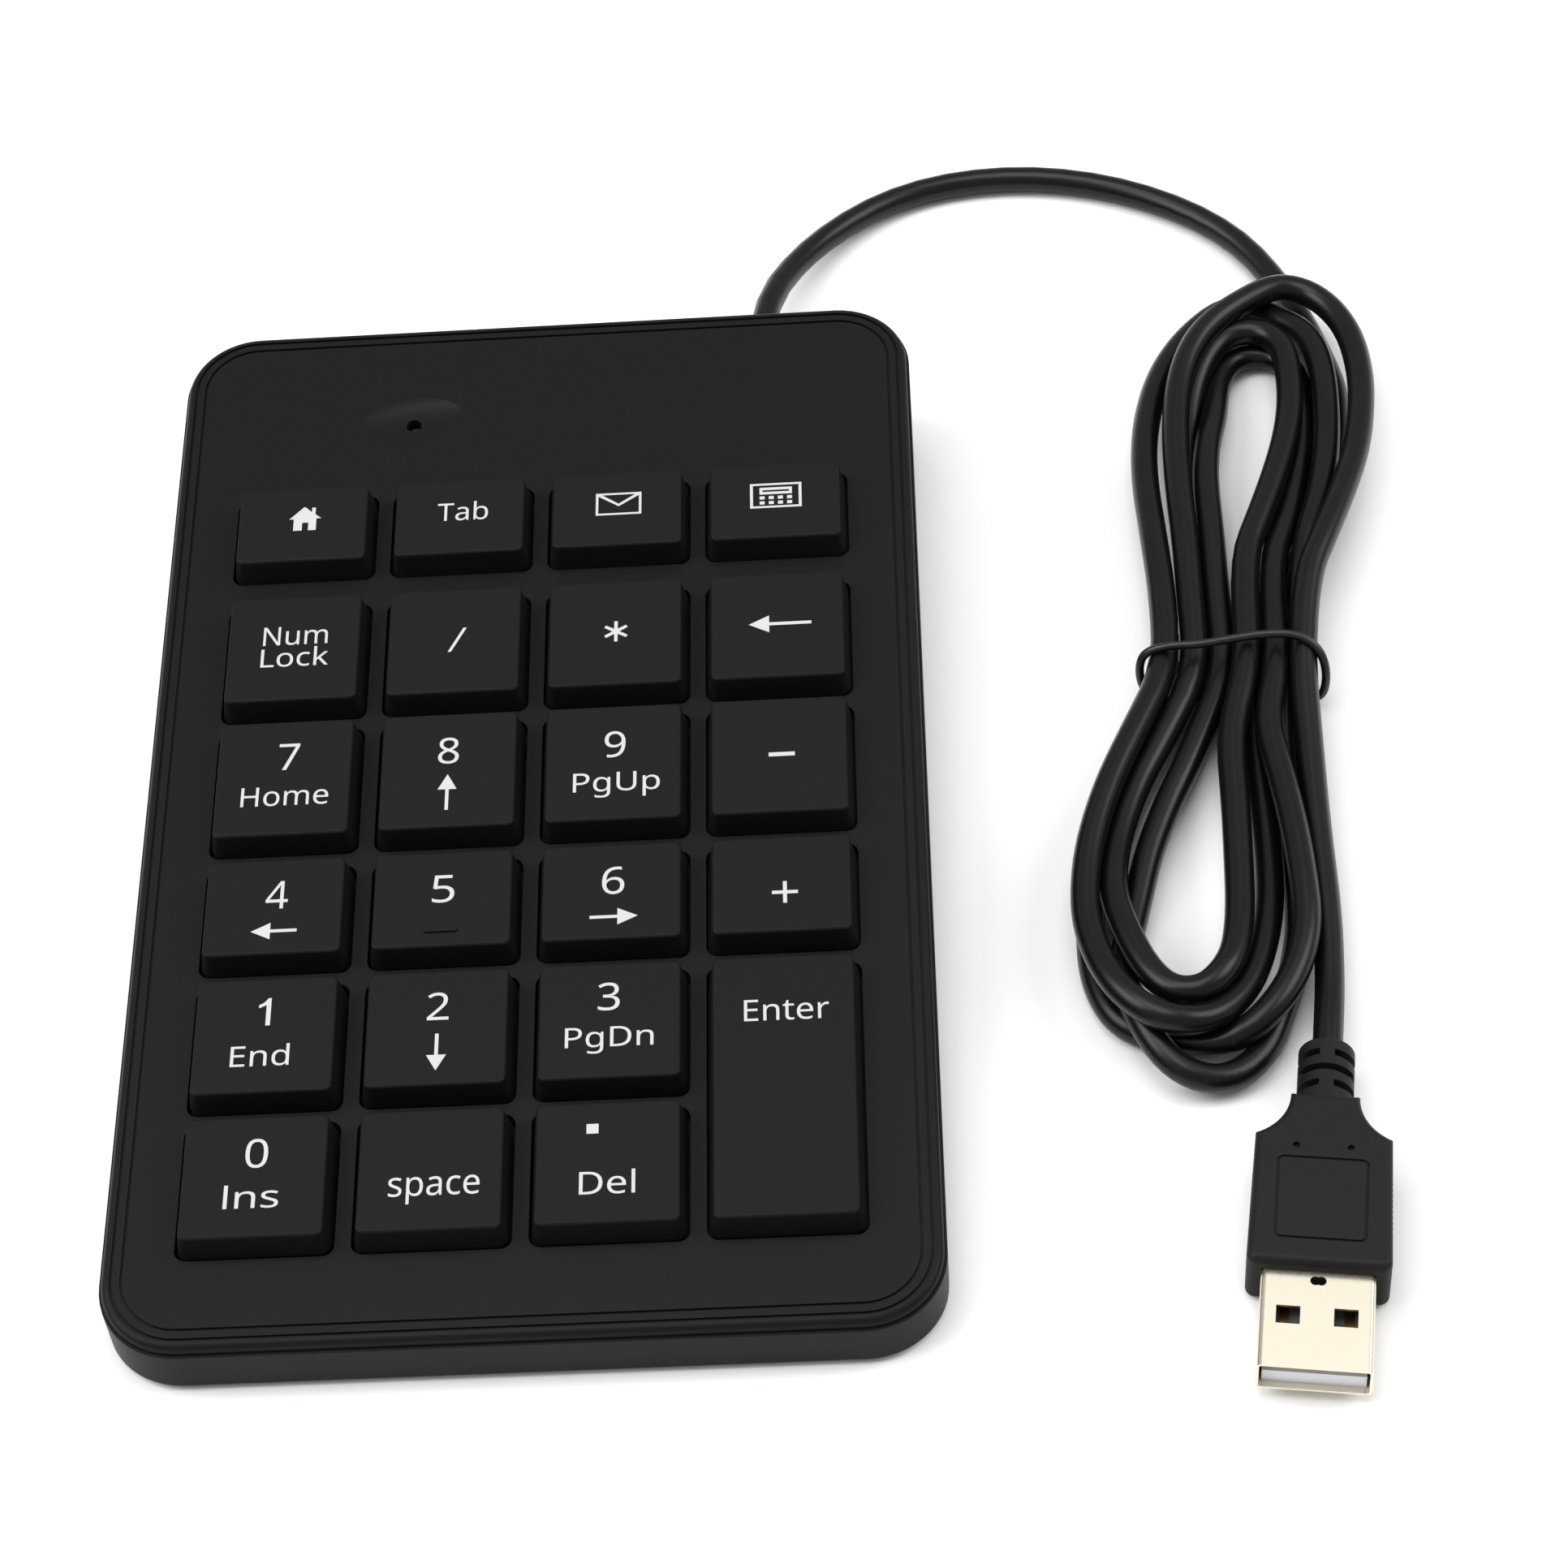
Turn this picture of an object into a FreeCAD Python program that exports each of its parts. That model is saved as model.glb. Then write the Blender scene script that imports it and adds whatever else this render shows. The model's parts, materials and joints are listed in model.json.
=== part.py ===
import FreeCAD, Part
import math
import os

# Wired numeric keypad: 23 keys on a sloping deck, a two-shell case, the membrane switch stack and
# its board inside, and a thin lead folded into a tied hank that ends in a type A plug.
# Millimetres. X to the right, Y away from the user, Z up. The origin is on the table, under the
# middle of the case. "Deck" sizes are measured in the tilted plane of the deck: x, v along it, and
# w square to it, with w = 0 on the deck's surface.

V = FreeCAD.Vector

# ---- case
CASE_W = 90.6
CASE_L = 143.0
CORNER_R = 9.0
DECK_TILT = 4.7
FOOT_GAP = 0.4
FLOOR_T = 1.2
WALL = 1.8
DECK_T = 1.8
BOTTOM_EDGE_R = 0.6
TOP_INSET = 0.3
PARTING_DROP = 1.3
RIM_R = 0.9
GROOVE_W = 0.34
GROOVE_D = 0.3
GROOVE_INSETS = (1.0, 2.15)
LIP_T = 1.0
LIP_DROP = 1.4
LIP_CLEAR = 0.15
RIB_T = 1.2
# How far a boss, rib or post sinks into the body it is joined to.
EMBED = 0.3

# ---- keys, rows counted from the front
KEY_W = 15.5
COLUMN_GAP = 3.55
ROW_LENGTHS = (14.8, 14.7, 12.7, 16.0, 15.3, 11.2)
ROW_GAPS = (3.1, 3.3, 3.5, 3.2, 5.6)
FRONT_MARGIN = 11.7
KEY_STAND = 3.2
KEY_TRAVEL = 2.0
KEY_TOP_T = 1.2
SKIRT_T = 1.0
SKIRT_DROP = 0.3
SKIRT_FLARE = 0.6
KEY_CORNER_R = 0.75
KEY_EDGE_R = 0.35
KEY_GAP = 0.3
WELL_BOTTOM_GAP = 0.05
WELL_CORNER_R = 1.3
PLATE_T = 0.75
BLOCK_MARGIN = 1.2
LEG_T = 1.0
LEG_W = 4.0
LEG_INSET = 1.2
LEG_CLEAR = 0.2
BARB_H = 0.55
BARB_OUT = 0.5
BARB_GAP = 0.05
BOSS_R = 2.2
BOSS_DROP = 2.0
HOMING_BAR = (3.8, 0.6, 0.28)
HOMING_BAR_INSET = 2.1

# ---- switch stack under the keys
BARB_TO_FILM = 0.1
FILM_T = 0.1
BACKING_T = 0.5
STACK_MARGIN = 1.4
DOME_BASE_R = 4.2
DOME_TOP_R = 2.2
DOME_WALL = 0.6
DOME_SHEET_T = 0.3
DOME_HOLE_CLEAR = 0.6
DOME_TO_BOSS = 0.05
CONTACT_R = 2.5

# ---- wire that keeps the enter key level
WIRE_D = 0.9
WIRE_CLEAR = 0.15
WIRE_BAR_X = 3.6
WIRE_ARM = 8.0
WIRE_HALF_SPAN = 12.0
WIRE_CLIP_OUT = 8.0
WIRE_CLIP_W = 1.0
WIRE_CLIP_L = 3.0
WIRE_BAR_UNDER_CAP = 1.8
WIRE_LUG_HALF = 1.1
WIRE_PIN = 2.4

# ---- board and what stands on it
BOARD_W = 46.0
BOARD_L = 16.8
BOARD_T = 1.6
BOARD_BACK_GAP = 5.7
BOARD_X = -1.0
TAIL_W = 24.0
TAIL_OVERLAP = 5.6
BAR_W = 38.0
BAR_L = 4.2
BAR_T = 1.5
BAR_SCREW_X = 15.5
LED_X = -16.3
LED_FROM_BACK = 15.8
LED_R = 1.5
LED_FLANGE_R = 1.9
LED_HOLE_R = 0.95
LED_FLANGE_T = 0.8
LED_TOP_DROP = 0.1
DISH_SPAN = 13.0
DISH_WIDTH = 7.6
DISH_DEPTH = 0.75
DISH_TURN = 7.0
# Share of the dish's span and of its depth, from the rim down.
DISH_LEVELS = ((1.0, 0.0), (0.78, 0.55), (0.42, 0.92), (0.12, 1.0))
POST_INSET = 3.0
POST_R = 1.6
BLOB_SPAN = 4.2
BLOB_H = 1.5
BLOB_X = 4.5
BLOB_FROM_BACK = 6.0
CRYSTAL_CAN = (10.2, 3.8)
CRYSTAL_BASE = (11.2, 4.6)
CRYSTAL_H = 3.6
CRYSTAL_BASE_T = 0.5
CRYSTAL_X = -6.0
CRYSTAL_FROM_BACK = 3.2
CHIP_PITCH = 2.6
RESISTOR = (1.6, 0.8, 0.5)
RESISTORS_AT = (-7.6, 9.0)
CAPACITOR = (2.0, 1.25, 0.9)
CAPACITORS_AT = (9.0, 4.0)

# ---- screws and feet
SCREW_R = 1.0
SCREW_HEAD_R = 1.9
SCREW_HEAD_H = 1.1
SCREW_WEB = 1.4
SCREW_BITE = 2.6
SCREW_CROSS = (1.1, 0.2)
SCREW_SLOT_DEPTH = 0.5
PILLAR_R = 3.0
TOP_BOSS_R = 2.6
SCREW_EDGE = 6.9
BACK_PILLAR_TOP = 9.0
FOOT_R = 4.0
FOOT_EDGE = 7.6
FOOT_X = 31.0
FOOT_SUNK = 0.7

# ---- lead, hank and plug
CABLE_D = 3.4
EXIT_X = 25.5
EXIT_Z = 6.5
CABLE_INSIDE = 5.5
BOOT_FLANGE_R = 4.2
BOOT_FLANGE_T = 1.6
BOOT_NECK_R = 3.1
BOOT_OUT = 9.5
BOOT_TIP_R = 2.4
BOOT_COLLAR_T = 1.2
BOOT_TAIL_R = 3.5
BOOT_SLOTS_FROM = 2.6
BOOT_SLOT_PITCH = 2.2
BOOT_SLOT_W = 0.8
BOOT_WEB_HALF = 0.7
LEAD_D = 0.9
LEAD_SPREAD = 0.6
LEAD_PITCH = 2.0
LEAD_ABOVE_BOARD = 2.2
SOCKET_L = 9.0
SOCKET_H = 3.6
SOCKET_W = 5.5
SOCKET_INSET = 0.8
HANK_H = 8.0
WAIST_X0 = 46.6
WAIST_X1 = 65.8
WAIST_Y = -51.9
TIE_W = 2.2
TIE_T = 0.8
TIE_GAP = 0.5
TIE_CORNER_R = 3.8
PLUG_X = 62.35
PLUG_Y = -107.9
PLUG_TURN = -7.4
RELIEF_L = 8.2
RELIEF_R = 3.1
RELIEF_SLOT = 0.9
RELIEF_WEB_HALF = 0.8
RELIEF_EDGE_R = 0.5
# Wall of the moulded sleeve left round the cable at the bottom of the ribs' slots.
SLEEVE_T = 0.45
OVERMOULD_L = 22.0
OVERMOULD_W = 15.2
OVERMOULD_H = 7.8
OVERMOULD_EDGE = 0.9
OVERMOULD_CORNER_R = 1.1
NECK_W = 7.4
SHOULDER_L = 5.4
SHOULDER_IN = 0.3
SHOULDER_HOLLOW = (0.9, 0.6)
PANEL_W = 9.8
PANEL_L = 10.6
PANEL_R = 0.8
PANEL_LINE = 0.35
PANEL_DEPTH = 0.25
PANEL_BACK = 8.4
DIMPLE_R = 0.4
DIMPLE_X = 2.9
DIMPLE_FROM_PANEL = 6.7
DIMPLE_DEPTH = 0.5
# Finger grip on the overmould's sides: upright grooves, counted from the shoulder.
GRIP_COUNT = 9
GRIP_PITCH = 0.7
GRIP_R = 0.35
GRIP_DEPTH = 0.2
GRIP_FROM_SHOULDER = 5.8
PLUG_LEAD_IN = 8.0
SHELL_W = 12.0
SHELL_H = 4.5
SHELL_T = 0.3
SHELL_OUT = 11.75
SHELL_IN = 6.0
SHELL_R = 0.6
WINDOW = (2.5, 2.2)
WINDOW_X = 3.0
WINDOW_FROM_TIP = 6.3
NUB_HOLE_R = 0.55
NUB_HOLE_HALF = 0.3
NUB_HOLE_FROM_MOULD = 1.1
TONGUE_T = 1.9
TONGUE_SHORT = 0.8
CONTACT_W = 1.0
CONTACT_T = 0.25
CONTACT_PITCH = 2.25
CONTACT_L = 7.4
CONTACT_FROM_FRONT = 0.6

# Route of the lead outside the case, from the point where it leaves the back wall.
LEAD_ROUTE = (
    V(0.0, -CABLE_INSIDE, 0.0),
    V(0.0, 12.0, 0.0),
    V(6.1, 28.5, -3.6),
    V(18.5, 40.2, -4.8),
    V(34.0, 43.1, -4.8),
    V(49.5, 39.4, -4.8),
    V(62.8, 30.0, -4.8),
    V(69.5, 17.0, -4.8),
    V(73.3, 4.5, -4.8),
)
# Route of the short free end, from under the hank to the plug, from the same point.
END_ROUTE = (
    V(63.7, -72.0, -4.8),
    V(64.2, -88.0, -4.8),
)
# Outer shape of the hank seen from above, from the same point.
HANK_OUTLINE = (
    (67.5, 15.3),
    (76.0, 8.0),
    (78.6, -6.5),
    (74.0, -26.0),
    (67.8, -41.5),
    (WAIST_X1, WAIST_Y),
    (66.3, -70.0),
    (65.6, -87.0),
    (61.5, -101.5),
    (55.5, -110.0),
    (49.8, -112.4),
    (41.0, -107.0),
    (35.8, -94.0),
    (34.9, -81.5),
    (39.5, -66.0),
    (WAIST_X0, WAIST_Y),
    (46.0, -35.0),
    (46.6, -16.0),
    (51.5, 0.5),
    (58.5, 11.5),
)

# ---- sizes that follow
TILT = math.radians(DECK_TILT)
DECK_L = CASE_L / math.cos(TILT)
COLUMN_PITCH = KEY_W + COLUMN_GAP
BACK_Y = CASE_L / 2
FLOOR_TOP = FOOT_GAP + FLOOR_T
CAP_UNDER = KEY_STAND - KEY_TOP_T
PLATE_TOP = -(SKIRT_DROP + KEY_TRAVEL + WELL_BOTTOM_GAP)
PLATE_UNDER = PLATE_TOP - PLATE_T
BARB_TOP = PLATE_UNDER - BARB_GAP
BARB_BOTTOM = BARB_TOP - BARB_H
FILM_TOP = BARB_BOTTOM - KEY_TRAVEL - BARB_TO_FILM
FILM_UNDER = FILM_TOP - 3 * FILM_T
BACKING_UNDER = FILM_UNDER - BACKING_T
FIELD_FRONT = -DECK_L / 2 + FRONT_MARGIN
FIELD_BACK = FIELD_FRONT + sum(ROW_LENGTHS) + sum(ROW_GAPS)
FIELD_HALF_W = 1.5 * COLUMN_PITCH + KEY_W / 2
STACK_FRONT = FIELD_FRONT - STACK_MARGIN
STACK_BACK = FIELD_BACK + STACK_MARGIN
STACK_HALF_W = FIELD_HALF_W + STACK_MARGIN
# The front end of the switch stack rests on the floor, which sets how high the deck stands.
DECK_Z = FLOOR_TOP - BACKING_UNDER / math.cos(TILT) - STACK_FRONT * math.tan(TILT) + 0.02
BOARD_TOP = FILM_UNDER
BOARD_UNDER = BOARD_TOP - BOARD_T
BOARD_BACK = DECK_L / 2 - WALL - BOARD_BACK_GAP
BOARD_FRONT = BOARD_BACK - BOARD_L
LED_V = DECK_L / 2 - LED_FROM_BACK
BAR_V = BOARD_FRONT + TAIL_OVERLAP - BAR_L / 2
LEG_X = KEY_W / 2 - LEG_INSET - LEG_T
SOCKET_V = BOARD_BACK - SOCKET_INSET - SOCKET_L / 2
SOCKET_FACE = BOARD_X + BOARD_W / 2 - SOCKET_INSET
CABLE_R = CABLE_D / 2
EXIT = V(EXIT_X, BACK_Y, EXIT_Z)
WIRE_SWING = 2 * math.asin(KEY_TRAVEL / 2 / WIRE_ARM)
WIRE_BAR_W = CAP_UNDER - WIRE_BAR_UNDER_CAP
WIRE_PIVOT_W = WIRE_BAR_W - KEY_TRAVEL / 2
WIRE_PIVOT_X = WIRE_BAR_X - WIRE_ARM * math.cos(WIRE_SWING / 2)

KEY_ROWS = (
    ("key_0", "key_space", "key_decimal", None),
    ("key_1", "key_2", "key_3", None),
    ("key_4", "key_5", "key_6", "key_plus"),
    ("key_7", "key_8", "key_9", "key_minus"),
    ("key_num_lock", "key_divide", "key_multiply", "key_backspace"),
    ("key_home", "key_tab", "key_mail", "key_calculator"),
)


# ---- small tools
def box(x0, x1, y0, y1, z0, z1):
    return Part.makeBox(x1 - x0, y1 - y0, z1 - z0, V(x0, y0, z0))


def cylinder(radius, x, y, z0, z1):
    return Part.makeCylinder(radius, z1 - z0, V(x, y, z0))


def cone(radius0, radius1, x, y, z0, z1):
    return Part.makeCone(radius0, radius1, z1 - z0, V(x, y, z0))


def rounded_wire(width, length, radius, z, x=0.0, y=0.0):
    """A rectangle with round corners, centred on x, y."""
    a = width / 2
    b = length / 2
    r = min(radius, a - 0.01, b - 0.01)
    k = r * (1 - math.sqrt(0.5))
    edges = []
    for sx, sy in ((1, -1), (1, 1), (-1, 1), (-1, -1)):
        along_y = V(x + sx * a, y + sy * (b - r), z)
        along_x = V(x + sx * (a - r), y + sy * b, z)
        middle = V(x + sx * (a - k), y + sy * (b - k), z)
        first, last = (along_x, along_y) if sx * sy < 0 else (along_y, along_x)
        if edges:
            edges.append(Part.LineSegment(edges[-1].EndPoint, first))
        edges.append(Part.Arc(first, middle, last))
    edges.append(Part.LineSegment(edges[-1].EndPoint, edges[0].StartPoint))
    return Part.Wire([e.toShape() for e in edges])


def prism(width, length, radius, z0, z1, x=0.0, y=0.0):
    wire = rounded_wire(width, length, radius, z0, x, y)
    return Part.Face(wire).extrude(V(0, 0, z1 - z0))


def ring(width, length, radius, thickness, z0, z1):
    outer = prism(width, length, radius, z0, z1)
    inner = prism(width - 2 * thickness, length - 2 * thickness, radius - thickness, z0, z1)
    return outer.cut(inner)


def edges_at(shape, z):
    """The edges that lie wholly at height z."""
    return [e for e in shape.Edges if abs(e.BoundBox.ZMin - z) < 1e-4 and abs(e.BoundBox.ZMax - z) < 1e-4]


def joined(shapes):
    first = shapes[0]
    rest = list(shapes[1:])
    return first.fuse(rest).removeSplitter() if rest else first


def on_deck(shape):
    """From deck coordinates to the object's own."""
    placed = shape.copy()
    placed.rotate(V(0, 0, 0), V(1, 0, 0), DECK_TILT)
    placed.translate(V(0, 0, DECK_Z))
    return placed


def deck_point(x, v, w):
    y = v * math.cos(TILT) - w * math.sin(TILT)
    z = DECK_Z + v * math.sin(TILT) + w * math.cos(TILT)
    return V(x, y, z)


def above_deck_level(w):
    """Everything above a level of the deck's frame, as a block to cut with."""
    reach = CASE_W + CASE_L
    return on_deck(box(-reach, reach, -reach, reach, w, w + reach))


def soft_path(points, name):
    """Straight runs joined by tangent arcs, each as large as its two runs allow."""
    edges = []
    start = points[0]
    radii = []
    for before, corner, after in zip(points, points[1:], points[2:]):
        run_in = corner.sub(before)
        run_out = after.sub(corner)
        turn = run_in.getAngle(run_out)
        setback = 0.45 * min(run_in.Length, run_out.Length)
        radius = setback / math.tan(turn / 2)
        to_before = V(run_in).normalize().multiply(-1)
        to_after = V(run_out).normalize()
        first = corner.add(V(to_before).multiply(setback))
        last = corner.add(V(to_after).multiply(setback))
        bisector = to_before.add(to_after).normalize()
        depth = radius / math.cos(turn / 2) - radius
        edges.append(Part.LineSegment(start, first))
        edges.append(Part.Arc(first, corner.add(bisector.multiply(depth)), last))
        start = last
        radii.append(round(radius, 1))
    edges.append(Part.LineSegment(start, points[-1]))
    print(name, "bend radii", radii)
    return Part.Wire([e.toShape() for e in edges])


def tube(points, radius, name):
    path = soft_path(points, name)
    section = Part.Wire([Part.Circle(points[0], points[1].sub(points[0]), radius).toShape()])
    made = path.makePipeShell([section], True, False)
    expected = math.pi * radius * radius * path.Length
    print(name, "length", round(path.Length, 1), "volume", round(made.Volume, 1), "of", round(expected, 1))
    return made


# ---- where the keys are
def key_places():
    """name -> (x, v, width, length) of each key's top face."""
    places = {}
    starts = [FIELD_FRONT]
    for length, gap in zip(ROW_LENGTHS, ROW_GAPS):
        starts.append(starts[-1] + length + gap)
    for names, start, length in zip(KEY_ROWS, starts, ROW_LENGTHS):
        for column, name in enumerate(names):
            if name:
                x = (column - 1.5) * COLUMN_PITCH
                places[name] = (x, start + length / 2, KEY_W, length)
    enter_length = ROW_LENGTHS[0] + ROW_GAPS[0] + ROW_LENGTHS[1]
    places["key_enter"] = (1.5 * COLUMN_PITCH, FIELD_FRONT + enter_length / 2, KEY_W, enter_length)
    return places


KEYS = key_places()
ENTER_X, ENTER_V = KEYS["key_enter"][:2]


# ---- keys
def tapered(width, length, z0, z1, grow):
    """A block that widens downwards by grow on each side."""
    low = rounded_wire(width + 2 * grow, length + 2 * grow, KEY_CORNER_R + grow, z0)
    high = rounded_wire(width, length, KEY_CORNER_R, z1)
    return Part.makeLoft([low, high], True, True)


def key_leg(side):
    """A guide leg with the barb that stops the key from lifting out."""
    inner = side * LEG_X
    outer = side * (LEG_X + LEG_T)
    barb = side * (LEG_X + LEG_T + BARB_OUT)
    leg = box(min(inner, outer), max(inner, outer), -LEG_W / 2, LEG_W / 2, BARB_BOTTOM, CAP_UNDER + EMBED)
    hook = box(min(inner, barb), max(inner, barb), -LEG_W / 2, LEG_W / 2, BARB_BOTTOM, BARB_TOP)
    return leg.fuse(hook)


def key_cap(name):
    x, v, width, length = KEYS[name]
    body = tapered(width, length, -SKIRT_DROP, KEY_STAND, SKIRT_FLARE)
    body = body.makeFillet(KEY_EDGE_R, edges_at(body, KEY_STAND))
    shrink = 2 * SKIRT_T
    hollow = tapered(width - shrink, length - shrink, -SKIRT_DROP, CAP_UNDER, SKIRT_FLARE)
    body = body.cut(hollow)
    parts = [body, key_leg(-1), key_leg(1), cylinder(BOSS_R, 0, 0, -BOSS_DROP, CAP_UNDER + EMBED)]
    if name == "key_5":
        bar_w, bar_l, bar_h = HOMING_BAR
        front = -length / 2 + HOMING_BAR_INSET
        parts.append(prism(bar_w, bar_l, bar_l / 2, KEY_STAND - 0.1, KEY_STAND + bar_h, 0, front))
    if name == "key_enter":
        parts += [wire_clip(-1), wire_clip(1)]
    cap = joined(parts)
    cap.translate(V(x, v, 0))
    return on_deck(cap)


def wire_clip(side):
    """The fork under the enter key that carries the level wire's long bar."""
    middle = side * WIRE_CLIP_OUT
    gap = WIRE_D / 2 + WIRE_CLEAR
    half = WIRE_CLIP_L / 2
    block = box(WIRE_BAR_X - gap - WIRE_CLIP_W, WIRE_BAR_X + gap + WIRE_CLIP_W,
                middle - half, middle + half, -SKIRT_DROP, CAP_UNDER + EMBED)
    slot = box(WIRE_BAR_X - gap, WIRE_BAR_X + gap, middle - WIRE_CLIP_L, middle + WIRE_CLIP_L,
               -SKIRT_DROP - 1, WIRE_BAR_W + gap)
    return block.cut(slot)


def enter_level_wire():
    """A bent steel wire: a long bar in the key's forks and two arms that swing on the deck plate."""
    r = WIRE_D / 2
    span = WIRE_HALF_SPAN
    bar = V(WIRE_BAR_X, -span, WIRE_BAR_W)
    parts = [Part.makeCylinder(r, 2 * span, bar, V(0, 1, 0))]
    for side in (-1, 1):
        elbow = V(WIRE_BAR_X, side * span, WIRE_BAR_W)
        pivot = V(WIRE_PIVOT_X, side * span, WIRE_PIVOT_W)
        arm = pivot.sub(elbow)
        parts.append(Part.makeSphere(r, elbow))
        parts.append(Part.makeCylinder(r, arm.Length, elbow, arm))
        parts.append(Part.makeSphere(r, pivot))
        parts.append(Part.makeCylinder(r, WIRE_PIN, pivot, V(0, side, 0)))
    wire = joined(parts)
    wire.translate(V(ENTER_X, ENTER_V, 0))
    return on_deck(wire)


def wire_bearings():
    """The two drilled lugs on the well's floor that the level wire's ends turn in."""
    lugs = []
    hole_r = WIRE_D / 2 + WIRE_CLEAR / 3
    for side in (-1, 1):
        start = side * (WIRE_HALF_SPAN + WIRE_D)
        end = side * (WIRE_HALF_SPAN + WIRE_PIN)
        lug = box(WIRE_PIVOT_X - WIRE_LUG_HALF, WIRE_PIVOT_X + WIRE_LUG_HALF, min(start, end), max(start, end),
                  PLATE_TOP - 0.1, CAP_UNDER - KEY_TRAVEL - WELL_BOTTOM_GAP)
        bore = Part.makeCylinder(hole_r, 6 * WIRE_D, V(WIRE_PIVOT_X, start - side, WIRE_PIVOT_W), V(0, side, 0))
        lugs.append(lug.cut(bore))
    made = Part.makeCompound(lugs)
    made.translate(V(ENTER_X, ENTER_V, 0))
    return made


# ---- upper shell
def well(name):
    """The pocket a key sinks into, with the holes in its floor for the dome and the two legs."""
    x, v, width, length = KEYS[name]
    grow = 2 * (SKIRT_FLARE + KEY_GAP)
    parts = [prism(width + grow, length + grow, WELL_CORNER_R, PLATE_TOP, 1.0)]
    parts.append(cylinder(DOME_BASE_R + DOME_HOLE_CLEAR, 0, 0, PLATE_UNDER - 1, PLATE_TOP + 0.1))
    for side in (-1, 1):
        inner = side * (LEG_X - LEG_CLEAR)
        outer = side * (LEG_X + LEG_T + LEG_CLEAR)
        half = LEG_W / 2 + LEG_CLEAR
        parts.append(box(min(inner, outer), max(inner, outer), -half, half, PLATE_UNDER - 1, PLATE_TOP + 0.1))
    pocket = joined(parts)
    pocket.translate(V(x, v, 0))
    return pocket


def led_dish():
    """A shallow oval dish round the status light, and the light's hole."""
    sections = []
    for share, depth in DISH_LEVELS:
        a = DISH_SPAN / 2 * share
        b = DISH_WIDTH / 2 * share
        w = 0.02 - DISH_DEPTH * depth
        sections.append(Part.Wire([Part.Ellipse(V(0, 0, w), a, b).toShape()]))
    dish = Part.makeLoft(sections, True, False)
    dish.rotate(V(0, 0, 0), V(0, 0, 1), DISH_TURN)
    dish = dish.fuse(cylinder(LED_HOLE_R, 0, 0, -DECK_T - 1, 0))
    dish.translate(V(LED_X, LED_V, 0))
    return dish


def screw_places():
    """(x, y, height where the two shells' pillars meet) of the four case screws."""
    x = CASE_W / 2 - SCREW_EDGE + 0.2
    y = CASE_L / 2 - SCREW_EDGE
    front = FOOT_GAP + SCREW_HEAD_H + SCREW_WEB
    return [(sx * x, sy * y, front if sy < 0 else BACK_PILLAR_TOP) for sx in (-1, 1) for sy in (-1, 1)]


def upper_shell():
    width = CASE_W - 2 * TOP_INSET
    length = DECK_L - 2 * TOP_INSET
    radius = CORNER_R - TOP_INSET
    plate = prism(width, length, radius, -PARTING_DROP, 0)
    plate = plate.makeFillet(RIM_R, edges_at(plate, 0))
    for inset in GROOVE_INSETS:
        plate = plate.cut(ring(width - 2 * inset, length - 2 * inset, radius - inset, GROOVE_W, -GROOVE_D, 1))
    inside = WALL + LIP_CLEAR
    lean = (PARTING_DROP + LIP_DROP) * math.tan(TILT)
    plug_w = CASE_W - 2 * inside
    plug_l = DECK_L - 2 * (inside + lean)
    plug_r = CORNER_R - inside
    thick = prism(plug_w, plug_l, plug_r, -DECK_T, -PARTING_DROP + 0.1)
    lip = ring(plug_w, plug_l, plug_r, LIP_T, -PARTING_DROP - LIP_DROP, -DECK_T + 0.1)
    edge = SKIRT_FLARE + KEY_GAP + BLOCK_MARGIN
    block = box(-FIELD_HALF_W - edge, FIELD_HALF_W + edge, FIELD_FRONT - edge, FIELD_BACK + edge,
                PLATE_UNDER, -DECK_T + 0.1)
    shell = joined([plate, thick, lip, block])
    for name in KEYS:
        shell = shell.cut(well(name))
    shell = shell.cut(led_dish())
    shell = shell.fuse(wire_bearings())
    shell = on_deck(shell)
    bosses = []
    for x, y, meet in screw_places():
        top = DECK_Z + y * math.tan(TILT) - DECK_T + 2 * EMBED
        bosses.append(cylinder(TOP_BOSS_R, x, y, meet, top))
    shell = joined([shell] + bosses)
    for x, y, meet in screw_places():
        shell = shell.cut(cylinder(SCREW_R, x, y, meet - 1, meet + SCREW_BITE))
    return shell


# ---- lower shell
def support_ribs():
    """A grid of ribs under the switch stack, one under each row and column of keys and between."""
    xs = [(n / 2 - 2) * COLUMN_PITCH for n in range(9)]
    vs = sorted({round(place[1], 3) for place in KEYS.values()} - {round(ENTER_V, 3)})
    reach_w = STACK_HALF_W - 0.6
    xs = [x for x in xs if abs(x) < reach_w]
    y0 = STACK_FRONT * math.cos(TILT) + 1.0
    y1 = STACK_BACK * math.cos(TILT) - 1.0
    top = DECK_Z + STACK_BACK
    ribs = [box(x - RIB_T / 2, x + RIB_T / 2, y0, y1, FLOOR_TOP - EMBED, top) for x in xs]
    for v in vs:
        y = v * math.cos(TILT)
        ribs.append(box(-reach_w, reach_w, y - RIB_T / 2, y + RIB_T / 2, FLOOR_TOP - EMBED, top))
    return joined(ribs).cut(above_deck_level(BACKING_UNDER))


def board_posts():
    """Two drilled posts under the clamp bar's screws and two plain ones under the board's back."""
    posts = []
    floor = FLOOR_TOP - EMBED
    for side in (-1, 1):
        spot = deck_point(BOARD_X + side * BAR_SCREW_X, BAR_V, BOARD_UNDER)
        posts.append(cylinder(TOP_BOSS_R, spot.x, spot.y, floor, spot.z + 1))
        spot = deck_point(BOARD_X + side * (BOARD_W / 2 - POST_INSET), BOARD_BACK - POST_INSET, BOARD_UNDER)
        posts.append(cylinder(POST_R, spot.x, spot.y, floor, spot.z + 1))
    return Part.makeCompound(posts).cut(above_deck_level(BOARD_UNDER))


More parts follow.
